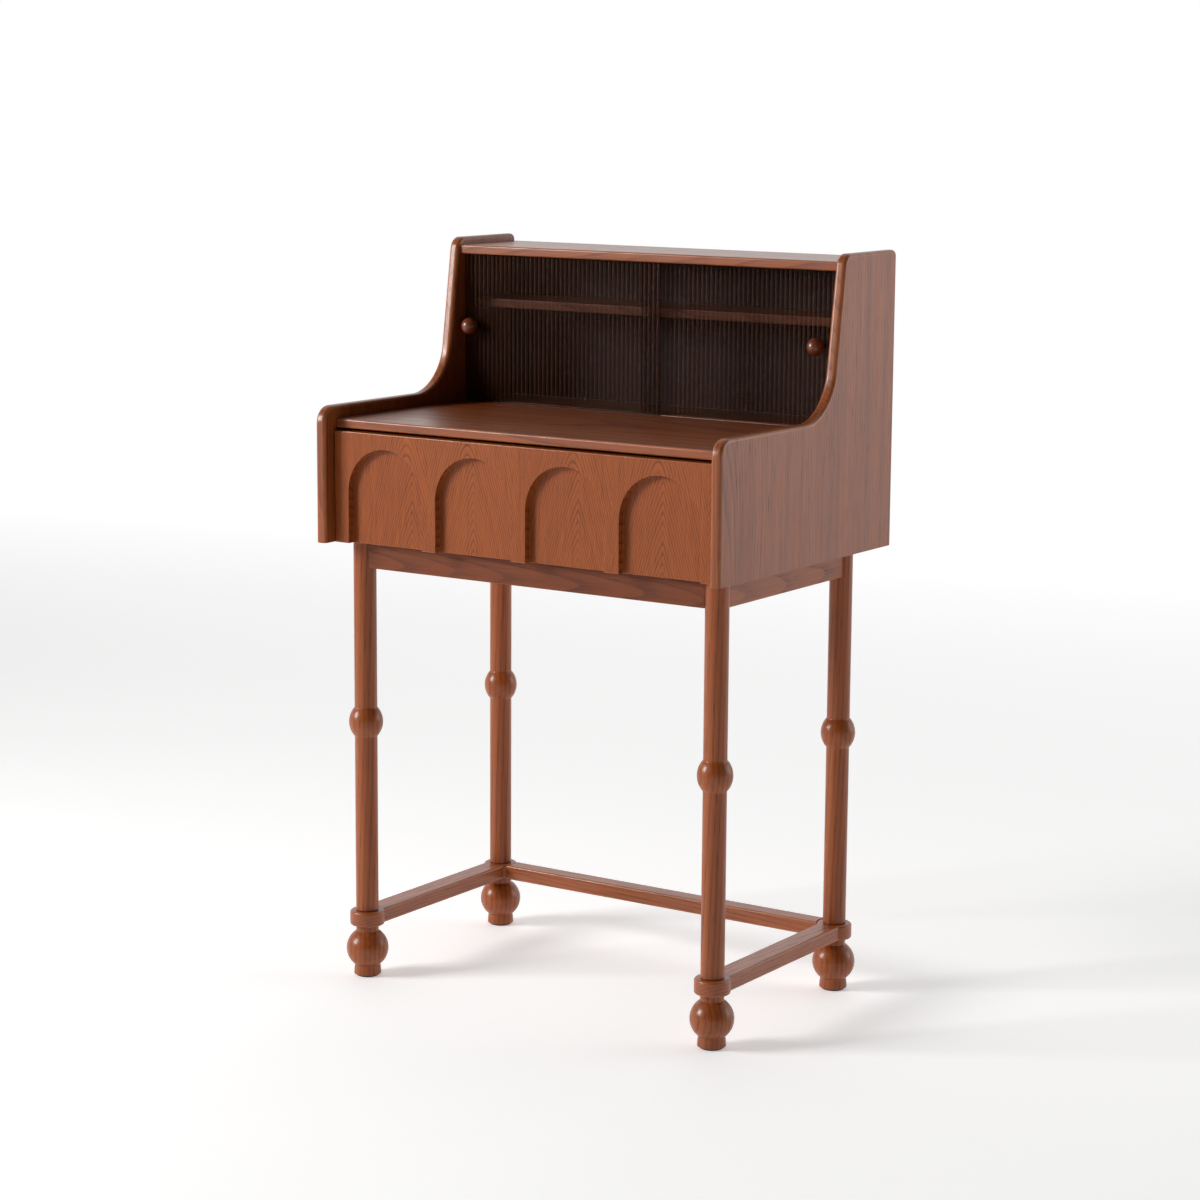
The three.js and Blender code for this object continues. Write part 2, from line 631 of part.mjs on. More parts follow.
function caseScrew(corner) {
  const seat = BLOCK_BOTTOM - GAP;
  const tip = CASE_BOTTOM + SCREW_BITE;
  const profile = [
    [0, seat - SCREW_HEAD_HEIGHT], [SCREW_HEAD, seat - SCREW_HEAD_HEIGHT], [SCREW_HEAD, seat],
    [SCREW_RADIUS, seat], [SCREW_RADIUS, tip], [0, tip],
  ];
  return turned(profile, SMALL_ROUND).translate(...caseScrewPlace(corner), 0);
}

function rectangle(x0, x1, y0, y1) {
  const shape = new THREE.Shape();
  shape.moveTo(x0, y0);
  shape.lineTo(x1, y0);
  shape.lineTo(x1, y1);
  shape.lineTo(x0, y1);
  shape.closePath();
  return shape;
}

// A side stretcher: a rail with a round boss at each leg, and a mortise for the rear stretcher.
function sideStretcher(sx) {
  const z = [STRETCHER_BOTTOM, STRETCHER_TOP];
  const half = SIDE_RAIL / 2;
  const rail = slab(rectangle(-half, half, LEG_FRONT_Y, LEG_BACK_Y), z, RAIL_ROUND);
  const bosses = [LEG_FRONT_Y, LEG_BACK_Y].map((y) => {
    const circle = new THREE.Shape().absarc(0, 0, BOSS_RADIUS, 0, 2 * Math.PI, false);
    return slab(circle, z, RAIL_ROUND).translate(0, y, 0);
  });
  const bolts = [LEG_FRONT_Y, LEG_BACK_Y].map((y) =>
    rod(BOLT_RADIUS + SHANK_PLAY, [STRETCHER_BOTTOM - OVERCUT, STRETCHER_TOP + OVERCUT]).translate(0, y, 0),
  );
  const middle = STRETCHER_BOTTOM + STRETCHER / 2;
  const tenonHalf = RAIL_TENON / 2 + SLIDE_PLAY;
  const mortise = block(
    [-sx * (RAIL_TENON_TIP - SLIDE_PLAY), -sx * (BOSS_RADIUS + OVERCUT)],
    [LEG_BACK_Y - tenonHalf, LEG_BACK_Y + tenonHalf],
    [middle - RAIL_TENON_HEIGHT / 2 - SLIDE_PLAY, middle + RAIL_TENON_HEIGHT / 2 + SLIDE_PLAY],
  );
  return cut(join([rail, ...bosses]), [...bolts, mortise]).translate(sx * LEG_X, 0, 0);
}

function rearStretcher() {
  const length = 2 * LEG_X;
  const half = REAR_RAIL / 2;
  const middle = STRETCHER_BOTTOM + STRETCHER / 2;
  const z = [middle - RAIL_TENON_HEIGHT / 2, middle + RAIL_TENON_HEIGHT / 2];
  return scribedRail({
    axis: "x",
    length,
    rail: slab(rectangle(-LEG_X, LEG_X, -half, half), [STRETCHER_BOTTOM, STRETCHER_TOP], RAIL_ROUND),
    roundRadius: BOSS_RADIUS,
    tenonBar: bar("x", length - 2 * RAIL_TENON_TIP, RAIL_TENON, z),
  }).translate(0, LEG_BACK_Y, 0);
}

function addBase() {
  for (const corner of CORNERS) {
    const { name, sx, sy } = corner;
    const bolt = rod(BOLT_RADIUS, [STRETCHER_BOTTOM - BOLT_REACH, STRETCHER_TOP + BOLT_REACH]);
    const glide = rod(GLIDE_RADIUS, [0, GLIDE], ROUND);
    add(`leg_${name}`, legPost(corner), stainedAsh());
    add(`foot_${name}`, foot(corner), stainedAsh());
    add(`leg_bolt_${name}`, bolt.translate(sx * LEG_X, legY(sy), 0), steel());
    add(`glide_${name}`, glide.translate(sx * LEG_X, legY(sy), 0), felt());
    add(`corner_block_${name}`, cornerBlock(corner), stainedAsh());
    add(`case_screw_${name}`, caseScrew(corner), steel());
  }
  for (const { name, sx } of SIDES) add(`stretcher_${name}`, sideStretcher(sx), stainedAsh());
  add("stretcher_rear", rearStretcher(), stainedAsh());
  addAprons();
}

addCase();
addDoors();
addDrawer();
addRunners();
addBase();

export default desk;
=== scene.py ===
"""A small writing desk: a case with one wide drawer, a hutch with two sliding doors, and a turned base."""

import logging
import math
from collections.abc import Callable, Iterable, Sequence
from dataclasses import dataclass, field
from enum import Enum
from typing import Any

import bmesh
import bpy
from mathutils import Euler, Matrix, Vector


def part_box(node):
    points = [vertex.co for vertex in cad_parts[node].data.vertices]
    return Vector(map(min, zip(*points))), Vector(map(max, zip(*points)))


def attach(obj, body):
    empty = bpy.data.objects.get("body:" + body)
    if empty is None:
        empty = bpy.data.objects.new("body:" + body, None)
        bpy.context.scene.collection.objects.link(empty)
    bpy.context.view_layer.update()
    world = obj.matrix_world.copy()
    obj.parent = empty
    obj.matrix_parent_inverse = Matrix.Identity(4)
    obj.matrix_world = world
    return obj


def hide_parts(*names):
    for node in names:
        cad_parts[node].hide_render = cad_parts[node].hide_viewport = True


LOG = logging.getLogger("writing_desk")
SIDES = ("left", "right")
CORNERS = ("front_left", "front_right", "rear_right", "rear_left")
Colour = tuple[float, float, float, float]

# Lengths that differ by less than this are the same.
SMALL = 1e-5
# Points nearer than this are welded into one.
WELD = 2e-6
# Faces that turn by less than this are one flat face.
FLAT = math.radians(0.5)
# How far a cutter reaches past the wood.
OVER = 0.002

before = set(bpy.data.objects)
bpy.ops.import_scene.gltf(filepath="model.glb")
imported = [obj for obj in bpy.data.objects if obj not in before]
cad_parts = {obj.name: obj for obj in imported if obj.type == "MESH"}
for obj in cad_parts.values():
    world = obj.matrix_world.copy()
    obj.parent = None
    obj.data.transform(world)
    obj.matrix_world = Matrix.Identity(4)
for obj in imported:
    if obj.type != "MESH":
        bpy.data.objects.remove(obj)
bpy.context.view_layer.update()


# ---- The bench: one piece at a time, shaped with operators ----


class Part(Enum):
    """The kinds of mesh element that an operator acts on."""

    POINTS = ("verts", "VERT")
    EDGES = ("edges", "EDGE")
    FACES = ("faces", "FACE")


def clear_selection() -> None:
    """Goes to object mode and leaves nothing selected."""
    if bpy.context.mode != "OBJECT":
        bpy.ops.object.mode_set(mode="OBJECT")
    bpy.ops.object.select_all(action="DESELECT")


def middle(low: Vector, high: Vector) -> Vector:
    """The middle of a box."""
    return (low + high) / 2


def centre_of(node: str) -> Vector:
    """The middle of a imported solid's box."""
    return middle(*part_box(node))


def near(a: float, b: float, reach: float = SMALL) -> bool:
    """Whether two lengths are the same."""
    return abs(a - b) < reach


def at(element: Any, axis: int, place: float, reach: float = SMALL) -> bool:
    """Whether all of an edge or a face lies at one place along an axis."""
    return all(near(v.co[axis], place, reach) for v in element.verts)


def runs_flat(edge: Any, axis: int) -> bool:
    """Whether an edge keeps its place along an axis."""
    return near(edge.verts[0].co[axis], edge.verts[1].co[axis])


def select_everything() -> None:
    """Selects the whole of the mesh that is open."""
    bpy.ops.mesh.select_all(action="SELECT")


class Workpiece:
    """A mesh object on the bench.

    The newest primitive becomes the workpiece, with its place and size taken into its mesh.
    """

    def __init__(self, name: str) -> None:
        """Takes the active object as the workpiece."""
        self.obj: bpy.types.Object = bpy.context.active_object
        self.obj.name = name
        self.obj.data.name = name
        bpy.ops.object.transform_apply(location=True, rotation=True, scale=True)

    @classmethod
    def block(cls, name: str, low: Sequence[float], high: Sequence[float]) -> "Workpiece":
        """A squared block between two corners."""
        low, high = Vector(low), Vector(high)
        clear_selection()
        bpy.ops.mesh.primitive_cube_add(size=1, location=middle(low, high), scale=high - low)
        return cls(name)

    @classmethod
    def dowel(
        cls, name: str, centre: Sequence[float], radius: float, length: float, axis: str = "z",
        sides: int = 64,
    ) -> "Workpiece":
        """A round rod along one of the three axes.

        Args:
            name: The piece's name.
            centre: The rod's middle.
            radius: Its radius.
            length: Its whole length.
            axis: The axis it lies along, as x, y or z.
            sides: The facets around it.

        Returns:
            The rod on the bench.
        """
        turn = {"x": (0, math.pi / 2, 0), "y": (math.pi / 2, 0, 0), "z": (0, 0, 0)}[axis]
        clear_selection()
        bpy.ops.mesh.primitive_cylinder_add(
            vertices=sides, radius=radius, depth=length, location=centre, rotation=turn
        )
        return cls(name)

    @classmethod
    def turned(
        cls,
        name: str,
        centre: Sequence[float],
        profile: Sequence[tuple[float, float]],
        axis: Sequence[float] = (0, 0, 1),
        steps: int = 64,
    ) -> "Workpiece":
        """A turned shape: a profile drawn point by point and spun once around.

        Args:
            name: The piece's name.
            centre: A point on the turning axis.
            profile: Radius and height of each profile point, from the axis to the axis.
            axis: The direction of the turning axis.
            steps: The facets around it.

        Returns:
            The turned piece on the bench.
        """
        centre, axis = Vector(centre), Vector(axis).normalized()
        out = Vector((1, 0, 0)) if abs(axis.x) < 0.5 else Vector((0, 0, 1))
        points = [centre + out * radius + axis * height for radius, height in profile]
        clear_selection()
        bpy.ops.mesh.primitive_plane_add(size=0.001, location=points[0])
        piece = cls(name)
        piece.edit()
        select_everything()
        bpy.ops.mesh.merge(type="CENTER")
        for before, after in zip(points, points[1:]):
            bpy.ops.mesh.extrude_vertices_move(TRANSFORM_OT_translate={"value": after - before})
        select_everything()
        bpy.ops.mesh.spin(steps=steps, angle=2 * math.pi, center=centre, axis=axis)
        select_everything()
        bpy.ops.mesh.remove_doubles(threshold=WELD)
        bpy.ops.mesh.normals_make_consistent(inside=False)
        return piece

    @classmethod
    def from_node(cls, name: str, node: str) -> "Workpiece":
        """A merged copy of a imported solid, with its flat faces whole again.

        Args:
            name: The piece's name.
            node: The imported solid.

        Returns:
            The copy on the bench.
        """
        clear_selection()
        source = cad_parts[node]
        copy = bpy.data.objects.new(name, source.data.copy())
        bpy.context.scene.collection.objects.link(copy)
        copy.data.materials.clear()
        bpy.context.view_layer.objects.active = copy
        copy.select_set(True)
        piece = cls(name)
        piece.edit()
        select_everything()
        bpy.ops.mesh.remove_doubles(threshold=WELD)
        select_everything()
        bpy.ops.mesh.dissolve_limited(angle_limit=FLAT)
        return piece

    def activate(self) -> None:
        """Makes this the active object, and the only one selected."""
        clear_selection()
        bpy.context.view_layer.objects.active = self.obj
        self.obj.select_set(True)

    def modify(self, kind: str, **settings: Any) -> None:
        """Adds a modifier and applies it at once."""
        self.activate()
        modifier = self.obj.modifiers.new(kind.lower(), kind)
        for key, value in settings.items():
            setattr(modifier, key, value)
        bpy.ops.object.modifier_apply(modifier=modifier.name)

    def edit(self) -> None:
        """Opens the mesh with nothing selected."""
        self.activate()
        bpy.ops.object.mode_set(mode="EDIT")
        bpy.ops.mesh.select_mode(type="VERT")
        bpy.ops.mesh.select_all(action="DESELECT")

    def select(self, kind: Part, test: Callable[[Any], bool]) -> int:
        """Selects just the elements that pass a test.

        Args:
            kind: The kind of element.
            test: Says whether an element is wanted.

        Returns:
            How many were selected.
        """
        if bpy.context.mode != "EDIT_MESH" or bpy.context.active_object != self.obj:
            self.edit()
        bpy.ops.mesh.select_all(action="DESELECT")
        bpy.ops.mesh.select_mode(type=kind.value[1])
        mesh = bmesh.from_edit_mesh(self.obj.data)
        chosen = [element for element in getattr(mesh, kind.value[0]) if test(element)]
        for element in chosen:
            element.select_set(True)
        mesh.select_flush_mode()
        bmesh.update_edit_mesh(self.obj.data)
        return len(chosen)

    def bevel(self, test: Callable[[Any], bool], width: float, segments: int) -> None:
        """Rounds the chosen edges."""
        if self.select(Part.EDGES, test):
            bpy.ops.mesh.bevel(
                offset=width, offset_type="OFFSET", segments=segments, profile=0.5, affect="EDGES",
                clamp_overlap=False,
            )

    def extrude(self, test: Callable[[Any], bool], step: Sequence[float]) -> None:
        """Draws the chosen faces out."""
        self.select(Part.FACES, test)
        bpy.ops.mesh.extrude_region_move(TRANSFORM_OT_translate={"value": Vector(step)})

    def score(self, point: Sequence[float], normal: Sequence[float]) -> None:
        """Cuts a line right around the piece, and removes nothing."""
        self.edit()
        select_everything()
        bpy.ops.mesh.bisect(plane_co=point, plane_no=normal, use_fill=False)

    def combine(self, tools: Iterable["Workpiece"], operation: str = "DIFFERENCE") -> None:
        """Cuts other pieces out of this one, or joins them to it."""
        for tool in tools:
            self.modify("BOOLEAN", operation=operation, solver="EXACT", object=tool.obj)
            bpy.data.objects.remove(tool.obj)

    def ease(self, width: float = 0.0006, angle: float = 40.0) -> None:
        """Breaks every sharp edge with a narrow round."""
        self.modify(
            "BEVEL", width=width, segments=2, limit_method="ANGLE", angle_limit=math.radians(angle),
            use_clamp_overlap=True,
        )

    def smooth(self, angle: float = 32.0) -> None:
        """Shades rounds smooth, and keeps flat faces flat beside them.

        Args:
            angle: Edges that turn by more than this, in degrees, stay crisp.
        """
        self.edit()
        select_everything()
        bpy.ops.mesh.normals_make_consistent(inside=False)
        self.activate()
        bpy.ops.object.shade_smooth_by_angle(angle=math.radians(angle))
        self.modify("WEIGHTED_NORMAL", keep_sharp=True)

    def mark_wear_and_highlight_edges(self, widest: float = 0.0022) -> None:
        """Stores the middle of each narrow round, where hands wear the finish and a lighter colour also
        paints the edges' highlight.

        Args:
            widest: A face narrower than this belongs to a round.
        """
        mesh = self.obj.data
        wear_and_highlight = [1.0] * len(mesh.vertices)
        for polygon in mesh.polygons:
            corners = [mesh.vertices[i].co for i in polygon.vertices]
            longest = max((a - b).length for a, b in zip(corners, corners[1:] + corners[:1]))
            if polygon.area / max(longest, SMALL) > widest:
                for i in polygon.vertices:
                    wear_and_highlight[i] = 0.0
        mesh.attributes.new("wear_and_highlight", "FLOAT", "POINT").data.foreach_set("value", wear_and_highlight)

    def refine(
        self, width: float = 0.0006, angle: float = 40.0, crisp: float = 32.0, widest: float = 0.0022
    ) -> None:
        """Eases a board's edges, shades it and marks its rounds for wear and a painted edge highlight.

        Args:
            width: The width of the eased edges.
            angle: Edges that turn by more than this, in degrees, are eased.
            crisp: Edges that turn by more than this, in degrees, stay crisp.
            widest: A face narrower than this belongs to a round.
        """
        self.ease(width, angle)
        self.smooth(crisp)
        self.mark_wear_and_highlight_edges(widest)

    def twin(self, name: str, step: Sequence[float]) -> "Workpiece":
        """A copy with its own mesh."""
        self.activate()
        bpy.ops.object.duplicate(linked=False)
        bpy.ops.transform.translate(value=Vector(step))
        return Workpiece(name)


# ---- Finishes ----


class Shader:
    """A material's nodes, added one by one."""

    def __init__(self, name: str) -> None:
        """Starts an empty material."""
        self.material = bpy.data.materials.new(name)
        self.material.use_nodes = True
        self.tree = self.material.node_tree
        self.surface = self.tree.nodes["Principled BSDF"]

    def node(self, kind: str, inputs: dict[Any, Any], **settings: Any) -> bpy.types.Node:
        """Adds a node.

        Args:
            kind: The node's type, without the ShaderNode in front.
            inputs: For each input, a value or another node's output.
            **settings: The node's own settings.

        Returns:
            The new node.
        """
        made = self.tree.nodes.new("ShaderNode" + kind)
        for key, value in settings.items():
            setattr(made, key, value)
        for key, value in inputs.items():
            self.feed(made.inputs[key], value)
        return made

    def feed(self, socket: bpy.types.NodeSocket, value: Any) -> None:
        """Links an output to a socket, or sets the socket's own value."""
        if isinstance(value, bpy.types.NodeSocket):
            self.tree.links.new(value, socket)
        else:
            socket.default_value = value

    def sum(self, operation: str, *values: Any, clamp: bool = False) -> bpy.types.NodeSocket:
        """One step of arithmetic."""
        made = self.node("Math", dict(enumerate(values)), operation=operation, use_clamp=clamp)
        return made.outputs[0]

    def times(self, first: Any, second: Any, clamp: bool = False) -> bpy.types.NodeSocket:
        """One value times another."""
        return self.sum("MULTIPLY", first, second, clamp=clamp)

    def scaled(self, value: Any, by: Any, plus: Any) -> bpy.types.NodeSocket:
        """A value times another, plus a third."""
        return self.sum("MULTIPLY_ADD", value, by, plus)

    def less(self, first: Any, second: Any) -> bpy.types.NodeSocket:
        """One value less another."""
        return self.sum("SUBTRACT", first, second)

    def place(self) -> bpy.types.NodeSocket:
        """The piece's own coordinates, in metres."""
        return self.node("TexCoord", {}).outputs["Object"]

    def noise(
        self, vector: Any, stretch: Sequence[float], detail: float = 2.0, seed: float = 0.0
    ) -> bpy.types.NodeSocket:
        """Noise at a scale of its own along each axis.

        Args:
            vector: The coordinates.
            stretch: Waves per metre along each axis.
            detail: The finer layers.
            seed: Sets one board's noise apart from the next.

        Returns:
            The noise, from 0 to 1.
        """
        start = (7 * seed, 3 * seed, 5 * seed)
        scaled = self.node("Mapping", {"Vector": vector, "Scale": stretch, "Location": start})
        made = self.node("TexNoise", {"Vector": scaled.outputs[0], "Scale": 1.0, "Detail": detail})
        return made.outputs["Fac"]

    def ramp(self, factor: Any, stops: Sequence[tuple[float, float]]) -> bpy.types.NodeSocket:
        """A curve through grey stops.

        Args:
            factor: Where on the curve.
            stops: Position and value of each stop.

        Returns:
            The value there.
        """
        made = self.node("ValToRGB", {"Fac": factor})
        line = made.color_ramp.elements
        while len(line) < len(stops):
            line.new(0.5)
        for stop, (position, value) in zip(line, stops):
            stop.position = position
            stop.color = (value, value, value, 1)
        return made.outputs["Color"]

    def blend(self, factor: Any, first: Any, second: Any) -> bpy.types.NodeSocket:
        """One colour over another."""
        made = self.node("Mix", {"Factor": factor}, data_type="RGBA")
        self.feed(made.inputs[6], first)
        self.feed(made.inputs[7], second)
        return made.outputs[2]

    def bump(self, height: Any, distance: float, strength: float) -> None:
        """Gives the surface its relief."""
        made = self.node("Bump", {"Height": height, "Distance": distance, "Strength": strength})
        self.feed(self.surface.inputs["Normal"], made.outputs[0])

    def wear(self, **values: Any) -> None:
        """Sets the surface's inputs, named with _ for a space."""
        for key, value in values.items():
            self.feed(self.surface.inputs[key.replace("_", " ")], value)


class Grain(Enum):
    """The axis along which a piece's fibres run, and the turn that brings it upright."""

    ALONG_X = (0.0, -math.pi / 2, 0.0)
    ALONG_Y = (math.pi / 2, 0.0, 0.0)
    ALONG_Z = (0.0, 0.0, 0.0)


@dataclass(frozen=True)
class Stain:
    """The colours and gloss of a timber.

    Attributes:
        pale: The late wood's colour.
        dark: The early wood's colour.
        pore: The pores' colour.
        rubbed_and_highlight: The lighter colour of edges that hands wear, which also paints their highlight.
        roughness: How matt its lacquer is.
        coat: The strength of the gloss coat.
        contrast: How strongly the figure shows.
    """

    pale: Colour
    dark: Colour
    pore: Colour
    rubbed_and_highlight: Colour
    roughness: float
    coat: float
    contrast: float


RED_BROWN = Stain(
    pale=(0.350, 0.081, 0.012, 1),
    dark=(0.125, 0.023, 0.004, 1),
    pore=(0.045, 0.008, 0.002, 1),
    rubbed_and_highlight=(0.46, 0.15, 0.045, 1),
    roughness=0.36,
    coat=0.26,
    contrast=0.66,
)
DEEP_BROWN = Stain(
    pale=(0.185, 0.038, 0.005, 1),
    dark=(0.062, 0.011, 0.002, 1),
    pore=(0.028, 0.005, 0.001, 1),
    rubbed_and_highlight=(0.32, 0.09, 0.025, 1),
    roughness=0.40,
    coat=0.08,
    contrast=0.66,
)
KNOB_BROWN = Stain(
    pale=(0.185, 0.036, 0.007, 1),
    dark=(0.080, 0.015, 0.003, 1),
    pore=(0.035, 0.006, 0.002, 1),
    rubbed_and_highlight=(0.30, 0.08, 0.025, 1),
    roughness=0.34,
    coat=0.55,
    contrast=0.66,
)
# Painted shade: a near-black stain for the hutch back, standing in for the shade inside the hutch behind the
# smoked glass.
SHADED_INNER_BROWN = Stain(
    pale=(0.060, 0.018, 0.008, 1),
    dark=(0.026, 0.008, 0.004, 1),
    pore=(0.012, 0.004, 0.002, 1),
    rubbed_and_highlight=(0.10, 0.035, 0.015, 1),
    roughness=0.5,
    coat=0.0,
    contrast=0.6,
)
PALE_BIRCH = Stain(
    pale=(0.60, 0.41, 0.23, 1),
    dark=(0.46, 0.29, 0.14, 1),
    pore=(0.30, 0.17, 0.08, 1),
    rubbed_and_highlight=(0.66, 0.48, 0.29, 1),
    roughness=0.55,
    coat=0.0,
    contrast=0.45,
)


@dataclass(frozen=True)
class Timber:
    """A board's grain: growth rings around a pith, with pores along the fibres.

    Attributes:
        name: The material's name.
        centre: The middle of the piece.
        grain: The way the fibres run.
        pith: The pith from the middle of the piece, across the fibres, in metres.
        taper: How fast the trunk narrows along the fibres, which draws the arched figure.
        ring: The rings' spacing in metres.
        leaf: The width of one veneer leaf in metres, or 0 for solid wood.
        stack: Picks the veneer leaves that lie side by side.
        spread: How much finer the rings lie away from the heart of the figure, per metre.
        wander: How far the rings stray from true, in metres.
        bands: The strength of the broad streaks along the fibres.
        figure: The strength of the growth rings.
        stain: Its colours.
        gloss: How strongly its lacquer shines.
        seed: Sets one board apart from the next.
    """

    name: str
    centre: tuple[float, float, float]
    grain: Grain = Grain.ALONG_Z
    pith: tuple[float, float] = (0.02, 0.09)
    taper: float = 0.05
    ring: float = 0.0042
    leaf: float = 0.0
    stack: float = 37033.5
    spread: float = 0.0
    wander: float = 0.010
    bands: float = 0.25
    figure: float = 0.85
    stain: Stain = RED_BROWN
    gloss: float = 0.42
    seed: float = 0.0

    def fibres(self, shader: Shader) -> tuple[Any, Any]:
        """Coordinates with Z along the fibres, and a random number for each veneer leaf.

        Args:
            shader: The material being made.

        Returns:
            The coordinates, and the leaf's number.
        """
        turn = Euler(self.grain.value)
        start = -(turn.to_matrix() @ Vector(self.centre))
        moved = {"Vector": shader.place(), "Location": start, "Rotation": turn}
        placed = shader.node("Mapping", moved).outputs[0]
        if not self.leaf:
            return placed, 0.5
        along = shader.node("SeparateXYZ", {0: placed}).outputs
        leaf = shader.sum("ROUND", shader.sum("DIVIDE", along[0], self.leaf))
        number = shader.node(
            "TexWhiteNoise", {"W": shader.sum("ADD", leaf, self.stack)}, noise_dimensions="1D"
        )
        chance = number.outputs["Value"]
        within = shader.less(along[0], shader.times(leaf, self.leaf))
        aside, up = 0.09, 0.14
        shifted = shader.scaled(chance, aside, shader.less(within, aside / 2))
        other = shader.sum("FRACT", shader.times(chance, 7.31))
        lifted = shader.scaled(other, up, shader.less(along[2], up / 2))
        return shader.node("CombineXYZ", {0: shifted, 1: along[1], 2: lifted}).outputs[0], chance

    def rings(self, shader: Shader, place: Any) -> tuple[Any, Any]:
        """The dark early wood of each ring, and a random number for each ring.

        Args:
            shader: The material being made.
            place: Coordinates along the fibres.

        Returns:
            How early the wood is, from 0 to 1, and the ring's number.
        """
        x, y, z = shader.node("SeparateXYZ", {0: place}).outputs
        away = shader.less(y, self.pith[1])
        across = shader.less(x, self.pith[0])
        radius = shader.sum("SQRT", shader.scaled(across, across, shader.times(away, away)))
        radius = shader.scaled(shader.times(across, across), self.spread, radius)
        slow = shader.times(shader.noise(place, (11, 11, 3.4), 1, self.seed), self.wander)
        quick = shader.scaled(shader.noise(place, (60, 60, 8), 2, self.seed), self.ring * 0.22, slow)
        widened = shader.scaled(z, self.taper, shader.sum("ADD", radius, quick))
        count = shader.sum("DIVIDE", widened, self.ring)
        early = shader.ramp(
            shader.sum("FRACT", count), [(0, 1), (0.10, 0.9), (0.34, 0.32), (0.62, 0.06), (0.95, 0), (1, 1)]
        )
        whole = shader.sum("FLOOR", count)
        each = shader.node("TexWhiteNoise", {"W": whole}, noise_dimensions="1D").outputs["Value"]
        return early, each

    def make(self) -> bpy.types.Material:
        """The finished material."""
        stain = self.stain
        shader = Shader(self.name)
        place, leaf = self.fibres(shader)
        early, each = self.rings(shader, place)
        deep = shader.times(early, shader.scaled(each, 0.6, 0.4))
        streak = shader.ramp(shader.noise(place, (300, 300, 9), 3, self.seed), [(0.40, 0), (0.66, 1)])
        pores = shader.ramp(shader.noise(place, (1000, 1000, 30), 1, self.seed), [(0.54, 0), (0.64, 1)])
        pores = shader.times(pores, shader.scaled(early, 0.7, 0.3))
        cloud = shader.noise(place, (5, 5, 1.6), 2, self.seed)
        band = shader.ramp(shader.noise(place, (80, 80, 2.5), 2, self.seed + 3), [(0.36, 0), (0.68, 1)])
        figure = shader.scaled(streak, 0.36, shader.times(deep, self.figure))
        figure = shader.scaled(band, self.bands, figure)
        colour = shader.blend(shader.times(figure, stain.contrast, clamp=True), stain.pale, stain.dark)
        colour = shader.blend(shader.times(pores, 0.55), colour, stain.pore)
        patch = shader.ramp(cloud, [(0.30, 0.22), (0.70, 0.0)])
        colour = shader.blend(patch, colour, stain.dark)
        lighter = shader.times(shader.times(leaf, 0.16), shader.less(1.0, early))
        colour = shader.blend(lighter, colour, stain.rubbed_and_highlight)
        # Lighter colour on the narrow rounds: real wear from hands, and a painted highlight along the edges.
        wear_and_highlight_mask = shader.node("Attribute", {}, attribute_name="wear_and_highlight").outputs["Fac"]
        wear_and_sheen = shader.ramp(shader.noise(place, (70, 70, 30), 2), [(0.35, 0.25), (0.65, 0.85)])
        wear_and_sheen = shader.times(shader.times(wear_and_highlight_mask, wear_and_sheen), 0.6)
        colour = shader.blend(wear_and_sheen, colour, stain.rubbed_and_highlight)
        dull = shader.scaled(pores, 0.18, stain.roughness - 0.03)
        dull = shader.scaled(cloud, 0.10, dull)
        shader.wear(Base_Color=colour, Roughness=shader.scaled(wear_and_sheen, -0.08, dull))
        shader.wear(Coat_Weight=stain.coat, Coat_Roughness=0.15, Specular_IOR_Level=self.gloss)
        relief = shader.scaled(pores, -0.8, shader.times(deep, -0.3))
        shader.bump(relief, distance=0.00025, strength=0.45)
        return shader.material


@dataclass(frozen=True)
class SmokedGlass:
    """Dark brown pressed glass, seen through a little, with light and shade painted across its reeds.

    Attributes:
        name: The material's name.
        start: Where the first reed begins along X.
        pitch: A reed's width.
        valley_shade: The painted shade between two reeds.
        crest_highlight: The painted highlight along a reed's middle.
        cover: How much one face of the pane hides, from 0 to 1.
        gleam: How strongly a reed's middle shines.
    """

    name: str
    start: float
    pitch: float
    valley_shade: Colour = (0.003, 0.0012, 0.0008, 1)
    crest_highlight: Colour = (0.135, 0.048, 0.024, 1)
    cover: float = 0.37
    gleam: float = 0.30

    def make(self) -> bpy.types.Material:
        """The finished material."""
        shader = Shader(self.name)
        place = shader.place()
        cloud = shader.noise(place, (14, 14, 5), 2)
        ripple = shader.noise(place, (380, 380, 26), 2)
        x = shader.node("SeparateXYZ", {0: place}).outputs[0]
        reed = shader.sum("DIVIDE", shader.less(x, self.start), self.pitch)
        # Painted light across each reed: a lighter stripe along its middle and painted shade in the valleys
        # between.
        across = shader.ramp(shader.sum("FRACT", reed), [(0.0, 0), (0.28, 0), (0.5, 1), (0.72, 0), (1.0, 0)])
        lit = shader.times(across, shader.scaled(cloud, 0.8, 0.5))
        colour = shader.blend(lit, self.valley_shade, self.crest_highlight)
        shader.wear(Base_Color=colour, Roughness=shader.scaled(cloud, 0.10, 0.17))
        shader.wear(Alpha=self.cover, IOR=1.52, Specular_IOR_Level=shader.scaled(across, self.gleam, 0.01))
        shader.bump(ripple, distance=0.00006, strength=0.2)
        return shader.material


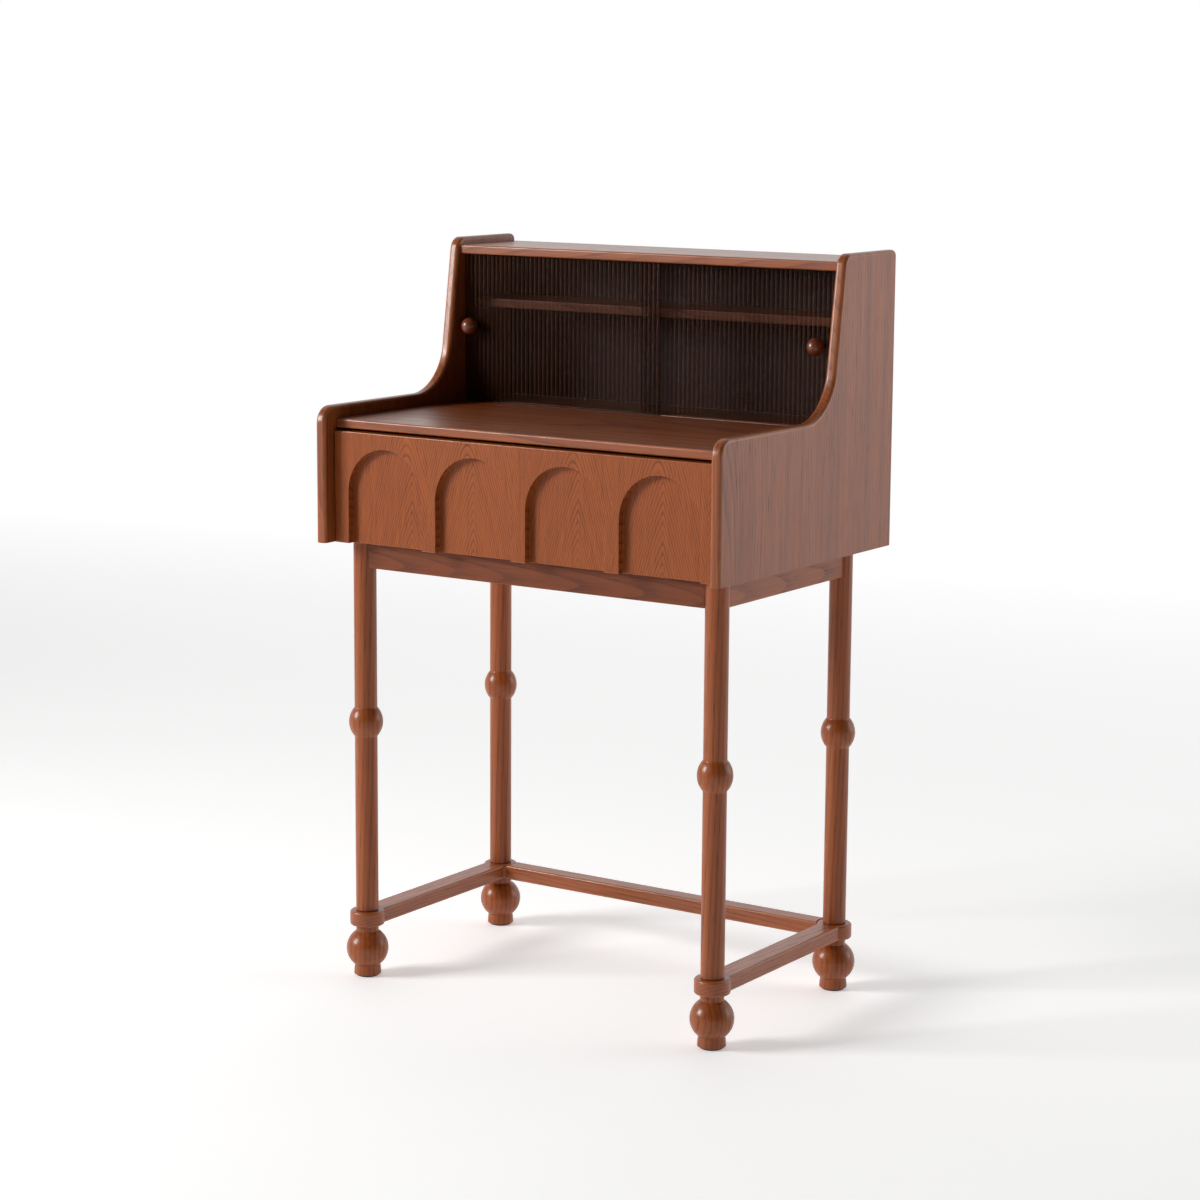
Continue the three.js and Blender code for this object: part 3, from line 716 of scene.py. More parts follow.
@dataclass(frozen=True)
class Steel:
    """Zinc-plated or blackened steel.

    Attributes:
        name: The material's name.
        brushed: Waves per metre along each axis: few along the brushing.
        shade: How bright the metal is, from 0 to 1.
    """

    name: str
    brushed: tuple[float, float, float] = (300, 14, 300)
    shade: float = 1.0

    def make(self) -> bpy.types.Material:
        """The finished material."""
        shader = Shader(self.name)
        place = shader.place()
        lines = shader.noise(place, self.brushed, 3)
        spots = shader.noise(place, (90, 90, 90), 3)
        dark, pale = 0.43 * self.shade, 0.63 * self.shade
        colour = shader.blend(lines, (dark, dark, dark * 1.03, 1), (pale, pale, pale * 1.02, 1))
        colour = shader.blend(shader.ramp(spots, [(0.60, 0), (0.78, 0.35)]), colour, (0.10, 0.08, 0.06, 1))
        shader.wear(Base_Color=colour, Metallic=1.0, Roughness=shader.scaled(lines, 0.25, 0.22))
        shader.bump(lines, distance=0.00005, strength=0.3)
        return shader.material


@dataclass(frozen=True)
class Felt:
    """Dark pressed felt under the feet."""

    name: str = "felt"

    def make(self) -> bpy.types.Material:
        """The finished material."""
        shader = Shader(self.name)
        place = shader.place()
        fuzz = shader.noise(place, (1500, 1500, 1500), 4)
        colour = shader.blend(fuzz, (0.010, 0.008, 0.007, 1), (0.045, 0.036, 0.030, 1))
        shader.wear(Base_Color=colour, Roughness=0.95, Sheen_Weight=0.4)
        shader.bump(fuzz, distance=0.0004, strength=0.8)
        return shader.material


@dataclass(frozen=True)
class StudioFloor:
    """A plain pale floor that runs out into white.

    Attributes:
        name: The material's name.
        far: How far behind the desk the floor has become plain white, in metres.
        edge: How far away it has done so on every side.
        glow: The brightness out there.
        lift: A little light of its own near the desk.
    """

    name: str = "studio_floor"
    far: float = 3.4
    edge: float = 11.0
    glow: float = 1.0
    lift: float = 0.31

    def make(self) -> bpy.types.Material:
        """The finished material."""
        shader = Shader(self.name)
        place = shader.place()
        cloud = shader.noise(place, (0.8, 0.8, 0.8), 2)
        colour = shader.blend(cloud, (0.87, 0.87, 0.865, 1), (0.90, 0.90, 0.895, 1))
        shader.wear(Base_Color=colour, Roughness=0.7)
        behind = {0: place, 1: (-0.2, 0.98, 0)}
        away = shader.node("VectorMath", behind, operation="DOT_PRODUCT").outputs["Value"]
        far = shader.ramp(shader.sum("DIVIDE", away, self.far), [(0.12, 0.0), (1.0, 1.0)])
        around = shader.node("VectorMath", {0: place}, operation="LENGTH").outputs["Value"]
        edge = shader.ramp(shader.sum("DIVIDE", around, self.edge), [(0.35, 0.0), (1.0, 1.0)])
        far = shader.sum("MAXIMUM", far, edge)
        glow = shader.node("Emission", {"Color": (1, 1, 1, 1), "Strength": self.glow}).outputs[0]
        lit = shader.surface.outputs[0]
        mixed = shader.node("MixShader", {0: far, 1: lit, 2: glow}).outputs[0]
        shader.feed(shader.tree.nodes["Material Output"].inputs["Surface"], mixed)
        shader.wear(Emission_Color=(1, 1, 1, 1), Emission_Strength=self.lift)
        return shader.material


# ---- Sub-assemblies ----


def rod_profile(radius: float, chamfer: float, start: float, end: float) -> list[tuple[float, float]]:
    """The profile of a turned rod with broken edges."""
    inner = radius - chamfer
    return [
        (0, start), (inner, start), (radius, start + chamfer), (radius, end - chamfer), (inner, end), (0, end)
    ]


class SubAssembly:
    """A part of the desk that is built and dressed together."""

    def fit(self, piece: Workpiece, node: str, body: str, slot: str, finish: bpy.types.Material) -> None:
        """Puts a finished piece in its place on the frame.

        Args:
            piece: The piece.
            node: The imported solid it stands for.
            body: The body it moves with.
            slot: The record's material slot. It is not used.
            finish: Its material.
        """
        clear_selection()
        piece.obj.data.materials.clear()
        piece.obj.data.materials.append(finish)
        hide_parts(node)
        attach(piece.obj, body)
        LOG.info("%s on %s, %d faces", piece.obj.name, body, len(piece.obj.data.polygons))

    def timber(self, node: str, **grain: Any) -> bpy.types.Material:
        """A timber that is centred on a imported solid."""
        return Timber(name=f"wood_{node}", centre=tuple(centre_of(node)), **grain).make()


@dataclass
class SidePanels(SubAssembly):
    """The two side panels: a low arm, a hollow sweep and a tall back that leans.

    Attributes:
        arm_top: The height of the arm.
        front_corner: The radius at the front of the arm.
        sweep: The radius of the hollow.
        lean: The slope of the tall back's front edge.
        hutch_depth: The tall back's depth at its top.
        top_front_corner: The radius at its top, to the front.
        top_back_corner: The radius at its top, to the back.
        round_over: The round along the outline, on both faces.
        groove_depth: The depth of the groove for the back panels.
        groove_play: The room around a back panel in its groove.
        pin_play: The room around a shelf pin.
    """

    arm_top: float = 0.767
    front_corner: float = 0.022
    sweep: float = 0.070
    lean: float = math.radians(8.2)
    hutch_depth: float = 0.133
    top_front_corner: float = 0.016
    top_back_corner: float = 0.008
    round_over: float = 0.005
    groove_depth: float = 0.005
    groove_play: float = 0.0005
    pin_play: float = 0.0003

    def outline(self, panel: Workpiece, low: Vector, high: Vector) -> None:
        """Grows the tall back out of the arm and rounds the outline's corners.

        Args:
            panel: A block as high as the arm.
            low: The panel's lowest corner.
            high: The panel's highest corner.
        """
        run = (high.z - self.arm_top) * math.tan(self.lean)
        top_front = high.y - self.hutch_depth
        foot = top_front - run
        panel.score((0, foot, 0), (0, 1, 0))
        panel.extrude(
            lambda f: f.normal.z > 0.9 and f.calc_center_median().y > foot, (0, 0, high.z - self.arm_top)
        )
        panel.select(Part.POINTS, lambda v: near(v.co.z, high.z) and near(v.co.y, foot))
        bpy.ops.transform.translate(value=(0, run, 0))
        panel.edit()
        select_everything()
        bpy.ops.mesh.dissolve_limited(angle_limit=FLAT)
        slant = math.tan((math.pi / 2 - self.lean) / 2)
        corners = [
            (foot, self.arm_top, self.sweep * slant, 28),
            (low.y, self.arm_top, self.front_corner, 14),
            (top_front, high.z, self.top_front_corner * slant, 12),
            (high.y, high.z, self.top_back_corner, 8),
        ]
        for y, z, width, segments in corners:
            panel.bevel(lambda e, y=y, z=z: at(e, 1, y) and at(e, 2, z), width, segments)
        panel.bevel(lambda e: runs_flat(e, 0) and not at(e, 2, low.z), self.round_over, 6)

    def grooves(self, side: str) -> list[Workpiece]:
        """Cutters for the back panels' groove and the shelf pins' holes.

        Args:
            side: left or right.

        Returns:
            The cutters.
        """
        low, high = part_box(f"side_panel_{side}")
        outwards = 1 if side == "right" else -1
        inner = low.x if side == "right" else high.x
        back_low, back_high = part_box("case_back")
        reach = sorted((inner - outwards * OVER, inner + outwards * self.groove_depth))
        play = self.groove_play
        bottom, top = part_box("case_bottom")[1].z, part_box("top_board")[0].z
        tools = [
            Workpiece.block(
                "groove", (reach[0], back_low.y - play, bottom), (reach[1], back_high.y + play, top)
            )
        ]
        for place in ("front", "rear"):
            pin_low, pin_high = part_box(f"shelf_pin_{place}_{side}")
            size = pin_high - pin_low
            tools.append(
                Workpiece.dowel(
                    "pin_hole", middle(pin_low, pin_high), size.z / 2 + self.pin_play,
                    size.x + 2 * self.pin_play, axis="x", sides=32,
                )
            )
        return tools

    def build(self) -> None:
        """Builds and dresses both panels."""
        for side, seed, pith in (("left", 3.7, (0.05, 0.26)), ("right", 9.1, (-0.05, -0.22))):
            node = f"side_panel_{side}"
            low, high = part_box(node)
            panel = Workpiece.block(f"panel_{side}", low, (high.x, high.y, self.arm_top))
            self.outline(panel, low, high)
            panel.combine(self.grooves(side))
            panel.refine(0.0008, 50, widest=0.0018)
            wood = self.timber(
                node, pith=pith, taper=0.04, ring=0.0052, wander=0.035, bands=0.7, figure=0.6, seed=seed
            )
            self.fit(panel, node, "case", "stained_ash", wood)


@dataclass
class CaseBoards(SubAssembly):
    """The boards between the side panels: desk, top, shelf, bottom and the two backs.

    Attributes:
        front_round: The round along a board's front edges.
        door_play: The room around a door in its groove, to the front and back.
        lower_groove: The depth of the door grooves in the desk board.
        upper_groove: The depth of the door grooves in the top board.
        screw_radius: A case screw's radius.
        screw_play: The room around a case screw.
    """

    front_round: float = 0.0024
    door_play: float = 0.0005
    lower_groove: float = 0.0035
    upper_groove: float = 0.008
    screw_radius: float = 0.002
    screw_play: float = 0.0003

    def board(self, name: str, node: str, rounded: float = 0.0) -> Workpiece:
        """A squared board, with its front edges rounded."""
        low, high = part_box(node)
        board = Workpiece.block(name, low, high)
        if rounded:
            board.bevel(lambda e: at(e, 1, low.y) and runs_flat(e, 2), rounded, 5)
        return board

    def door_grooves(self, z_low: float, z_high: float) -> list[Workpiece]:
        """Cutters for the two door grooves.

        Args:
            z_low: Where the cut starts.
            z_high: Where it ends.

        Returns:
            The cutters.
        """
        tools = []
        for door in ("front", "rear"):
            low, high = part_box(f"{door}_door_glass")
            tools.append(
                Workpiece.block(
                    "door_groove", (-1, low.y - self.door_play, z_low), (1, high.y + self.door_play, z_high)
                )
            )
        return tools

    def build(self) -> None:
        """Builds and dresses every board."""
        desk = self.board("writing_board", "desk_board", self.front_round)
        top_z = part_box("desk_board")[1].z
        desk.combine(self.door_grooves(top_z - self.lower_groove, top_z + OVER))
        top = self.board("top_board_rounded", "top_board", self.front_round)
        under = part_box("top_board")[0].z
        top.combine(self.door_grooves(under - OVER, under + self.upper_groove))
        shelf = self.board("shelf_board", "hutch_shelf", 0.0015)
        bottom = self.board("bottom_board", "case_bottom")
        screws = []
        for corner in CORNERS:
            low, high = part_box(f"case_screw_{corner}")
            place = middle(low, high)
            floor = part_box("case_bottom")[0].z
            depth = high.z - floor + self.screw_play
            hole = (place.x, place.y, floor + (depth - OVER) / 2)
            radius = self.screw_radius + self.screw_play
            screws.append(Workpiece.dowel("screw_hole", hole, radius, depth + OVER, sides=24))
        bottom.combine(screws)
        made = [
            (desk, "desk_board", dict(pith=(0.12, -0.05), ring=0.016, wander=0.03, bands=0.7, seed=1.3)),
            (top, "top_board", dict(pith=(-0.04, 0.12), seed=2.9)),
            (shelf, "hutch_shelf", dict(pith=(0.02, 0.10), seed=5.1)),
            (bottom, "case_bottom", dict(pith=(-0.04, 0.11), seed=6.4)),
            (self.board("case_back_panel", "case_back"), "case_back", dict(pith=(0.12, 0.03), seed=7.7)),
            # The hutch back takes a near-black stain as painted shade for the inside of the hutch.
            (
                self.board("hutch_back_panel", "hutch_back"), "hutch_back",
                dict(pith=(0.13, -0.02), seed=8.2, stain=SHADED_INNER_BROWN),
            ),
        ]
        for board, node, grain in made:
            board.refine()
            self.fit(board, node, "case", "stained_ash", self.timber(node, grain=Grain.ALONG_X, **grain))


@dataclass
class SlidingDoors(SubAssembly):
    """Two panes of reeded glass, each with a turned knob on a screw.

    Attributes:
        reed: The reeds' pitch, about.
        rise: How far a reed stands out.
        facets: The facets across a reed.
        hole_play: The room around the knob's screw.
        screw_radius: The screw's radius.
        neck_radius: The radius where the knob meets the glass.
        head_radius: The screw head's radius.
        head_height: The screw head's height.
        slot_width: The width of the slot in its head.
        slot_depth: The slot's depth.
        tip: The chamfer at the screw's tip.
    """

    reed: float = 0.007
    rise: float = 0.0014
    facets: int = 8
    hole_play: float = 0.0003
    screw_radius: float = 0.002
    neck_radius: float = 0.005
    head_radius: float = 0.0042
    head_height: float = 0.0025
    slot_width: float = 0.001
    slot_depth: float = 0.0011
    tip: float = 0.0006

    def reeded_strip(self, low: Vector, high: Vector, pitch: float) -> Workpiece:
        """The first reed: a line swept through an arc, then drawn back to the pane's flat rear.

        Args:
            low: The pane's lowest corner.
            high: The pane's highest corner.
            pitch: The reed's width.

        Returns:
            One reed, open on both sides.
        """
        half = pitch / 2
        radius = (half**2 + self.rise**2) / (2 * self.rise)
        sweep = 2 * math.asin(half / radius)
        clear_selection()
        bpy.ops.mesh.primitive_plane_add(size=0.001, location=(low.x, low.y + self.rise, low.z))
        strip = Workpiece("reed")
        strip.edit()
        select_everything()
        bpy.ops.mesh.merge(type="CENTER")
        bpy.ops.mesh.extrude_vertices_move(TRANSFORM_OT_translate={"value": (0, 0, high.z - low.z)})
        select_everything()
        bpy.ops.mesh.spin(
            steps=self.facets, angle=-sweep, center=(low.x + half, low.y + radius, 0), axis=(0, 0, 1)
        )
        select_everything()
        bpy.ops.mesh.extrude_region_move(TRANSFORM_OT_translate={"value": (0, high.y - low.y, 0)})
        bpy.ops.transform.resize(value=(1, 0, 1), center_override=(0, high.y, 0))
        strip.select(Part.FACES, lambda f: abs(f.normal.x) > 0.999)
        bpy.ops.mesh.delete(type="FACE")
        return strip

    def pane(self, name: str, door: str) -> Workpiece:
        """A whole pane: the reed repeated side by side, and both ends closed.

        Args:
            name: The piece's name.
            door: front or rear.

        Returns:
            The pane on the bench.
        """
        low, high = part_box(f"{door}_door_glass")
        count = round((high.x - low.x) / self.reed)
        pitch = (high.x - low.x) / count
        pane = self.reeded_strip(low, high, pitch)
        pane.obj.name = name
        pane.obj.data.name = name
        pane.modify(
            "ARRAY", count=count, use_relative_offset=False, use_constant_offset=True,
            constant_offset_displace=(pitch, 0, 0), use_merge_vertices=True, merge_threshold=2 * SMALL,
        )
        for end in (low.x, high.x):
            pane.select(Part.EDGES, lambda e, end=end: at(e, 0, end, 5 * SMALL))
            bpy.ops.mesh.edge_face_add()
        select_everything()
        bpy.ops.mesh.normals_make_consistent(inside=False)
        knob = centre_of(f"{door}_door_knob")
        place, radius = (knob.x, middle(low, high).y, knob.z), self.screw_radius + self.hole_play
        pane.combine([Workpiece.dowel("hole", place, radius, 10 * OVER, axis="y", sides=24)])
        return pane

    def knob(self, name: str, door: str) -> Workpiece:
        """A turned knob that points to the front.

        Args:
            name: The piece's name.
            door: front or rear.

        Returns:
            The knob on the bench.
        """
        low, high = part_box(f"{door}_door_knob")
        place = middle(low, high)
        radius = (high.z - low.z) / 2
        start = math.asin(self.neck_radius / radius)
        ball = [
            (radius * math.sin(angle), -radius * math.cos(angle))
            for angle in (start + (math.pi - start) * i / 26 for i in range(27))
        ]
        centre = (place.x, low.y + radius, place.z)
        seat = -(high.y - low.y - radius)
        bore = self.screw_radius + self.hole_play
        screw_low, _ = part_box(f"{door}_door_knob_screw")
        bottom = -(screw_low.y - self.hole_play - low.y - radius)
        stem = [(0, bottom), (bore, bottom), (bore, seat), (self.neck_radius, seat)]
        profile = stem + ball[:-1] + [(0, radius)]
        return Workpiece.turned(name, centre, profile, axis=(0, -1, 0), steps=48)

    def screw(self, name: str, door: str) -> Workpiece:
        """The knob's screw, with a domed and slotted head behind the glass.

        Args:
            name: The piece's name.
            door: front or rear.

        Returns:
            The screw on the bench.
        """
        low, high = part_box(f"{door}_door_knob_screw")
        place = middle(low, high)
        head, height, shank = self.head_radius, self.head_height, self.screw_radius
        length = high.y - low.y
        dome = [(head * math.sin(a), height * (1 - math.cos(a)) * 0.45) for a in (0.0, 0.5, 1.0, math.pi / 2)]
        tip = self.tip
        stem = [(head, height), (shank, height), (shank, length - tip), (shank - tip, length), (0, length)]
        screw = Workpiece.turned(name, (place.x, high.y, place.z), dome + stem, axis=(0, -1, 0), steps=32)
        half = self.slot_width / 2
        slot_low = (place.x - 5 * OVER, high.y - self.slot_depth, place.z - half)
        slot_high = (place.x + 5 * OVER, high.y + 5 * OVER, place.z + half)
        screw.combine([Workpiece.block("slot", slot_low, slot_high)])
        return screw

    def build(self) -> None:
        """Builds and dresses both doors."""
        steel = Steel("blackened_screw", (200, 60, 200), shade=0.06).make()
        for index, door in enumerate(("front", "rear")):
            body = f"{door}_door"
            pane = self.pane(f"{door}_door_pane", door)
            pane.smooth(28)
            low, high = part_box(f"{door}_door_glass")
            pitch = (high.x - low.x) / round((high.x - low.x) / self.reed)
            glass = SmokedGlass(f"smoked_glass_{door}", start=low.x, pitch=pitch).make()
            self.fit(pane, f"{door}_door_glass", body, "smoked_glass", glass)
            knob = self.knob(f"{door}_door_turned_knob", door)
            knob.smooth(35)
            wood = self.timber(
                f"{door}_door_knob", grain=Grain.ALONG_Y, stain=KNOB_BROWN, pith=(0.03, 0.02), ring=0.0045,
                seed=4.0 + index,
            )
            self.fit(knob, f"{door}_door_knob", body, "stained_ash", wood)
            screw = self.screw(f"{door}_door_slotted_screw", door)
            screw.smooth(35)
            self.fit(screw, f"{door}_door_knob_screw", body, "steel", steel)


@dataclass
class Drawer(SubAssembly):
    """The wide drawer: a veneered front with four arched recesses, and a pale box behind it.

    Attributes:
        arches: How many arches.
        pillar: The wood between two arches.
        arch_top: The wood above an arch.
        recess: The depth of an arch.
        arris: The round along the front's outer edges.
        play: The room around the bottom in its grooves.
    """

    arches: int = 4
    pillar: float = 0.0224
    arch_top: float = 0.020
    recess: float = 0.010
    arris: float = 0.0012
    play: float = 0.0005

    def arch_cutter(self, x: float, width: float, low: Vector, high: Vector) -> Workpiece:
        """A round-topped cutter for one arch.

        Args:
            x: The arch's middle.
            width: Its width.
            low: The front's lowest corner.
            high: The front's highest corner.

        Returns:
            The cutter.
        """
        top = high.z - self.arch_top
        half = width / 2
        cutter = Workpiece.block(
            "arch", (x - half, low.y - 0.003, low.z - 0.003), (x + half, low.y + self.recess, top)
        )
        cutter.bevel(lambda e: at(e, 2, top) and runs_flat(e, 0), half - SMALL, 26)
        select_everything()
        bpy.ops.mesh.remove_doubles(threshold=5 * SMALL)
        return cutter

    def bottom_slot(self, along: float) -> Workpiece:
        """A cutter for the groove that takes the drawer bottom."""
        low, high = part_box("drawer_bottom")
        play = Vector((self.play, along, self.play))
        return Workpiece.block("slot", low - play, high + play)

    def front(self) -> Workpiece:
        """The front with its arches.

        Returns:
            The front on the bench.
        """
        low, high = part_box("drawer_front")
        front = Workpiece.block("drawer_front_arched", low, high)
        front.bevel(lambda e: at(e, 1, low.y), self.arris, 3)
        width = (high.x - low.x - (self.arches + 1) * self.pillar) / self.arches
        tools = []
        for index in range(self.arches):
            x = (index - (self.arches - 1) / 2) * (width + self.pillar)
            tools.append(self.arch_cutter(x, width, low, high))
        tools.append(self.bottom_slot(self.play))
        front.combine(tools)
        return front

    def side(self, side: str) -> Workpiece:
        """One side of the box, with its groove."""
        low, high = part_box(f"drawer_side_{side}")
        board = Workpiece.block(f"drawer_box_side_{side}", low, high)
        board.combine([self.bottom_slot(5 * OVER)])
        return board

    def build(self) -> None:
        """Builds and dresses the drawer."""
        front = self.front()
        front.refine(0.0008, 50, crisp=30, widest=0.0009)
        low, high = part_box("drawer_front")
        pitch = (high.x - low.x - self.pillar) / self.arches
        wood = Timber(
            name="wood_drawer_front",
            centre=(pitch / 2, low.y, middle(low, high).z),
            pith=(0.0, 0.009),
            taper=0.40,
            ring=0.0050,
            spread=4.5,
            figure=1.15,
            wander=0.030,
            bands=0.10,
            leaf=pitch,
            gloss=0.22,
            seed=2.0,
        ).make()
        self.fit(front, "drawer_front", "drawer", "stained_ash", wood)
        box: list[tuple[Workpiece, str]] = [(self.side(side), f"drawer_side_{side}") for side in SIDES]
        for node in ("drawer_back", "drawer_bottom"):
            box.append((Workpiece.block(node.replace("drawer", "drawer_box"), *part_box(node)), node))
        for index, (board, node) in enumerate(box):
            board.refine()
            along = Grain.ALONG_Y if "side" in node else Grain.ALONG_X
            wood = self.timber(
                node, grain=along, stain=PALE_BIRCH, pith=(0.05, 0.10), ring=0.005, seed=1.0 + index
            )
            self.fit(board, node, "drawer", "drawer_wood", wood)


@dataclass
class Runners(SubAssembly):
    """The telescopic runners: three steel channels on each side.

    Attributes:
        wall: The steel's thickness.
        bodies: The body that each member moves with.
    """

    wall: float = 0.0015
    bodies: dict[str, str] = field(
        default_factory=lambda: {"case": "case", "middle": "runner_middle_{side}", "drawer": "drawer"}
    )

    def member(self, name: str, node: str, opens_inwards: bool, side: str) -> Workpiece:
        """One channel: a block hollowed from its open side.

        Args:
            name: The piece's name.
            node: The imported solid.
            opens_inwards: Whether the channel opens towards the desk's middle.
            side: left or right.

        Returns:
            The channel on the bench.
        """
        low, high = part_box(node)
        channel = Workpiece.block(name, low, high)
        inwards = -1 if side == "right" else 1
        open_way = inwards if opens_inwards else -inwards
        inset = Vector((self.wall, 0, self.wall))
        hollow_low, hollow_high = low + inset, high - inset
        if open_way > 0:
            hollow_high.x = high.x + OVER
        else:
            hollow_low.x = low.x - OVER
        hollow_low.y -= OVER
        hollow_high.y += OVER
        channel.combine([Workpiece.block("hollow", hollow_low, hollow_high)])
        return channel

    def build(self) -> None:
        """Builds and dresses the six channels."""
        steel = Steel("runner_steel", (260, 9, 260)).make()
        for side in SIDES:
            for member, body in self.bodies.items():
                node = f"runner_{member}_member_{side}"
                channel = self.member(f"runner_{member}_channel_{side}", node, member != "drawer", side)
                channel.ease(0.0003)
                channel.smooth()
                self.fit(channel, node, body.format(side=side), "steel", steel)


@dataclass
class TurnedBase(SubAssembly):
    """Four turned legs on ball feet, with the hardware inside them.

    Attributes:
        leg_radius: The shaft's radius.
        bead_radius: The bead's radius.
        bead_rise: Half the bead's height.
        bead_height: The bead's middle.
        ball_radius: The foot's radius.
        ball_height: The foot's middle.
        sole_radius: The sole's radius.
        sole_waist: The radius where the sole meets the ball.
        sole_height: The sole's top.
        neck_radius: The foot's radius at its top.
        screw_head: The radius of a case screw's head.
        screw_shank: The radius of its shank.
        screw_height: The height of its head.
        cross: Half the length and half the width of each arm of the cross in its head.
    """

    leg_radius: float = 0.015
    bead_radius: float = 0.0225
    bead_rise: float = 0.026
    bead_height: float = 0.3465
    ball_radius: float = 0.028
    ball_height: float = 0.0377
    sole_radius: float = 0.0183
    sole_waist: float = 0.0172
    sole_height: float = 0.013
    neck_radius: float = 0.015
    screw_head: float = 0.0042
    screw_shank: float = 0.002
    screw_height: float = 0.0025
    cross: tuple[float, float] = (0.0028, 0.0005)

    def bulge(
        self, radius: float, rise: float, centre: float, low: float, high: float, steps: int
    ) -> list[tuple[float, float]]:
        """Profile points on an upright ellipse.

        Args:
            radius: Its greatest radius.
            rise: Half its height.
            centre: Its middle.
            low: Its radius where it starts.
            high: Its radius where it ends.
            steps: The facets along it.

        Returns:
            Radius and height of each point.
        """
        start, end = -math.acos(low / radius), math.acos(high / radius)
        angles = (start + (end - start) * i / steps for i in range(steps + 1))
        return [(radius * math.cos(a), centre + rise * math.sin(a)) for a in angles]

    def leg(self) -> Workpiece:
        """The front left leg: a shaft with a bead half way up.

        Returns:
            The leg on the bench.
        """
        low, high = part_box("leg_front_left")
        place = middle(low, high)
        r = self.leg_radius
        bead = self.bulge(self.bead_radius, self.bead_rise, self.bead_height, r + 0.0004, r + 0.0004, 26)
        profile = (
            [(0, low.z), (r - 0.0006, low.z), (r, low.z + 0.0006), (r, bead[0][1] - 0.0012)]
            + bead
            + [(r, bead[-1][1] + 0.0012), (r, high.z - 0.0006), (r - 0.0006, high.z), (0, high.z)]
        )
        return Workpiece.turned("leg_post_front_left", (place.x, place.y, 0), profile)

    def foot(self) -> Workpiece:
        """The front left foot: a sole, a ball and a short neck.

        Returns:
            The foot on the bench.
        """
        low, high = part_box("foot_front_left")
        place = middle(low, high)
        ball = self.bulge(
            self.ball_radius, self.ball_radius, self.ball_height, self.sole_waist, self.neck_radius, 34
        )
        profile = (
            [(0, low.z), (self.sole_radius - 0.0012, low.z), (self.sole_radius - 0.0003, low.z + 0.0004)]
            + [(self.sole_radius, low.z + 0.0012), (self.sole_waist + 0.0004, self.sole_height - 0.0010)]
            + [(self.sole_waist, self.sole_height)]
            + ball
            + [(self.neck_radius, high.z - 0.0004), (self.neck_radius - 0.0004, high.z), (0, high.z)]
        )
        return Workpiece.turned("ball_foot_front_left", (place.x, place.y, 0), profile)

    def rod(self, name: str, node: str, chamfer: float) -> Workpiece:
        """A plain turned rod or disc with broken edges."""
        low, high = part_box(node)
        place = middle(low, high)
        r = (high.y - low.y) / 2
        return Workpiece.turned(name, (place.x, place.y, 0), rod_profile(r, chamfer, low.z, high.z), steps=32)

    def case_screw(self, name: str, node: str) -> Workpiece:
        """A screw that holds the case to a corner block.

        Args:
            name: The piece's name.
            node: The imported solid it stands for.

        Returns:
            The screw on the bench.
        """
        low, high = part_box(node)
        place = middle(low, high)
        head, shank, height = self.screw_head, self.screw_shank, self.screw_height
        profile = [
            (0, low.z), (head * 0.6, low.z + 0.0003), (head, low.z + 0.0012), (head, low.z + height),
            (shank, low.z + height), (shank, high.z - 0.003), (0, high.z),
        ]
        screw = Workpiece.turned(name, (place.x, place.y, 0), profile, steps=32)
        for wide, deep in (self.cross, self.cross[::-1]):
            start = (place.x - wide, place.y - deep, low.z - OVER / 2)
            end = (place.x + wide, place.y + deep, low.z + 0.0013)
            screw.combine([Workpiece.block("recess", start, end)])
        return screw

    def build(self) -> None:
        """Builds and dresses the legs, feet and their hardware."""
        steel = Steel("bolt_steel", (300, 300, 40)).make()
        felt = Felt().make()
        first = {
            "leg": (self.leg(), "leg_post", "stained_ash"),
            "foot": (self.foot(), "ball_foot", "stained_ash"),
            "leg_bolt": (self.rod("bolt_front_left", "leg_bolt_front_left", 0.0006), "bolt", "steel"),
            "glide": (self.rod("felt_pad_front_left", "glide_front_left", 0.0004), "felt_pad", "felt"),
            "case_screw": (
                self.case_screw("cross_screw_front_left", "case_screw_front_left"), "cross_screw", "steel"
            ),
        }
        for kind, (piece, name, slot) in first.items():
            piece.smooth(30 if kind in ("leg", "foot") else 35)
            home = centre_of(f"{kind}_front_left")
            for index, corner in enumerate(CORNERS):
                node = f"{kind}_{corner}"
                step = centre_of(node) - home
                made = piece if index == 0 else piece.twin(f"{name}_{corner}", step)
                if slot == "stained_ash":
                    seed = 1.7 * index + (10 if kind == "foot" else 0)
                    pith = ((0.090, 0.050), (0.075, 0.062), (0.100, 0.045), (0.085, 0.060))[index]
                    finish = self.timber(
                        node, pith=pith, taper=0.03, ring=0.0065, figure=0.6, gloss=0.30, seed=seed
                    )
                else:
                    finish = felt if slot == "felt" else steel
                self.fit(made, node, "case", slot, finish)
        for side in SIDES:
            for place in ("front", "rear"):
                self.pin(place, side, steel)

    def pin(self, place: str, side: str, steel: bpy.types.Material) -> None:
        """Builds and dresses one shelf pin.

        Args:
            place: front or rear.
            side: left or right.
            steel: Its material.
        """
        node = f"shelf_pin_{place}_{side}"
        low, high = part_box(node)
        spot = middle(low, high)
        profile = rod_profile((high.z - low.z) / 2, 0.0005, low.x, high.x)
        made = Workpiece.turned(f"pin_{place}_{side}", (0, spot.y, spot.z), profile, axis=(1, 0, 0), steps=24)
        made.smooth(35)
        self.fit(made, node, "case", "steel", steel)


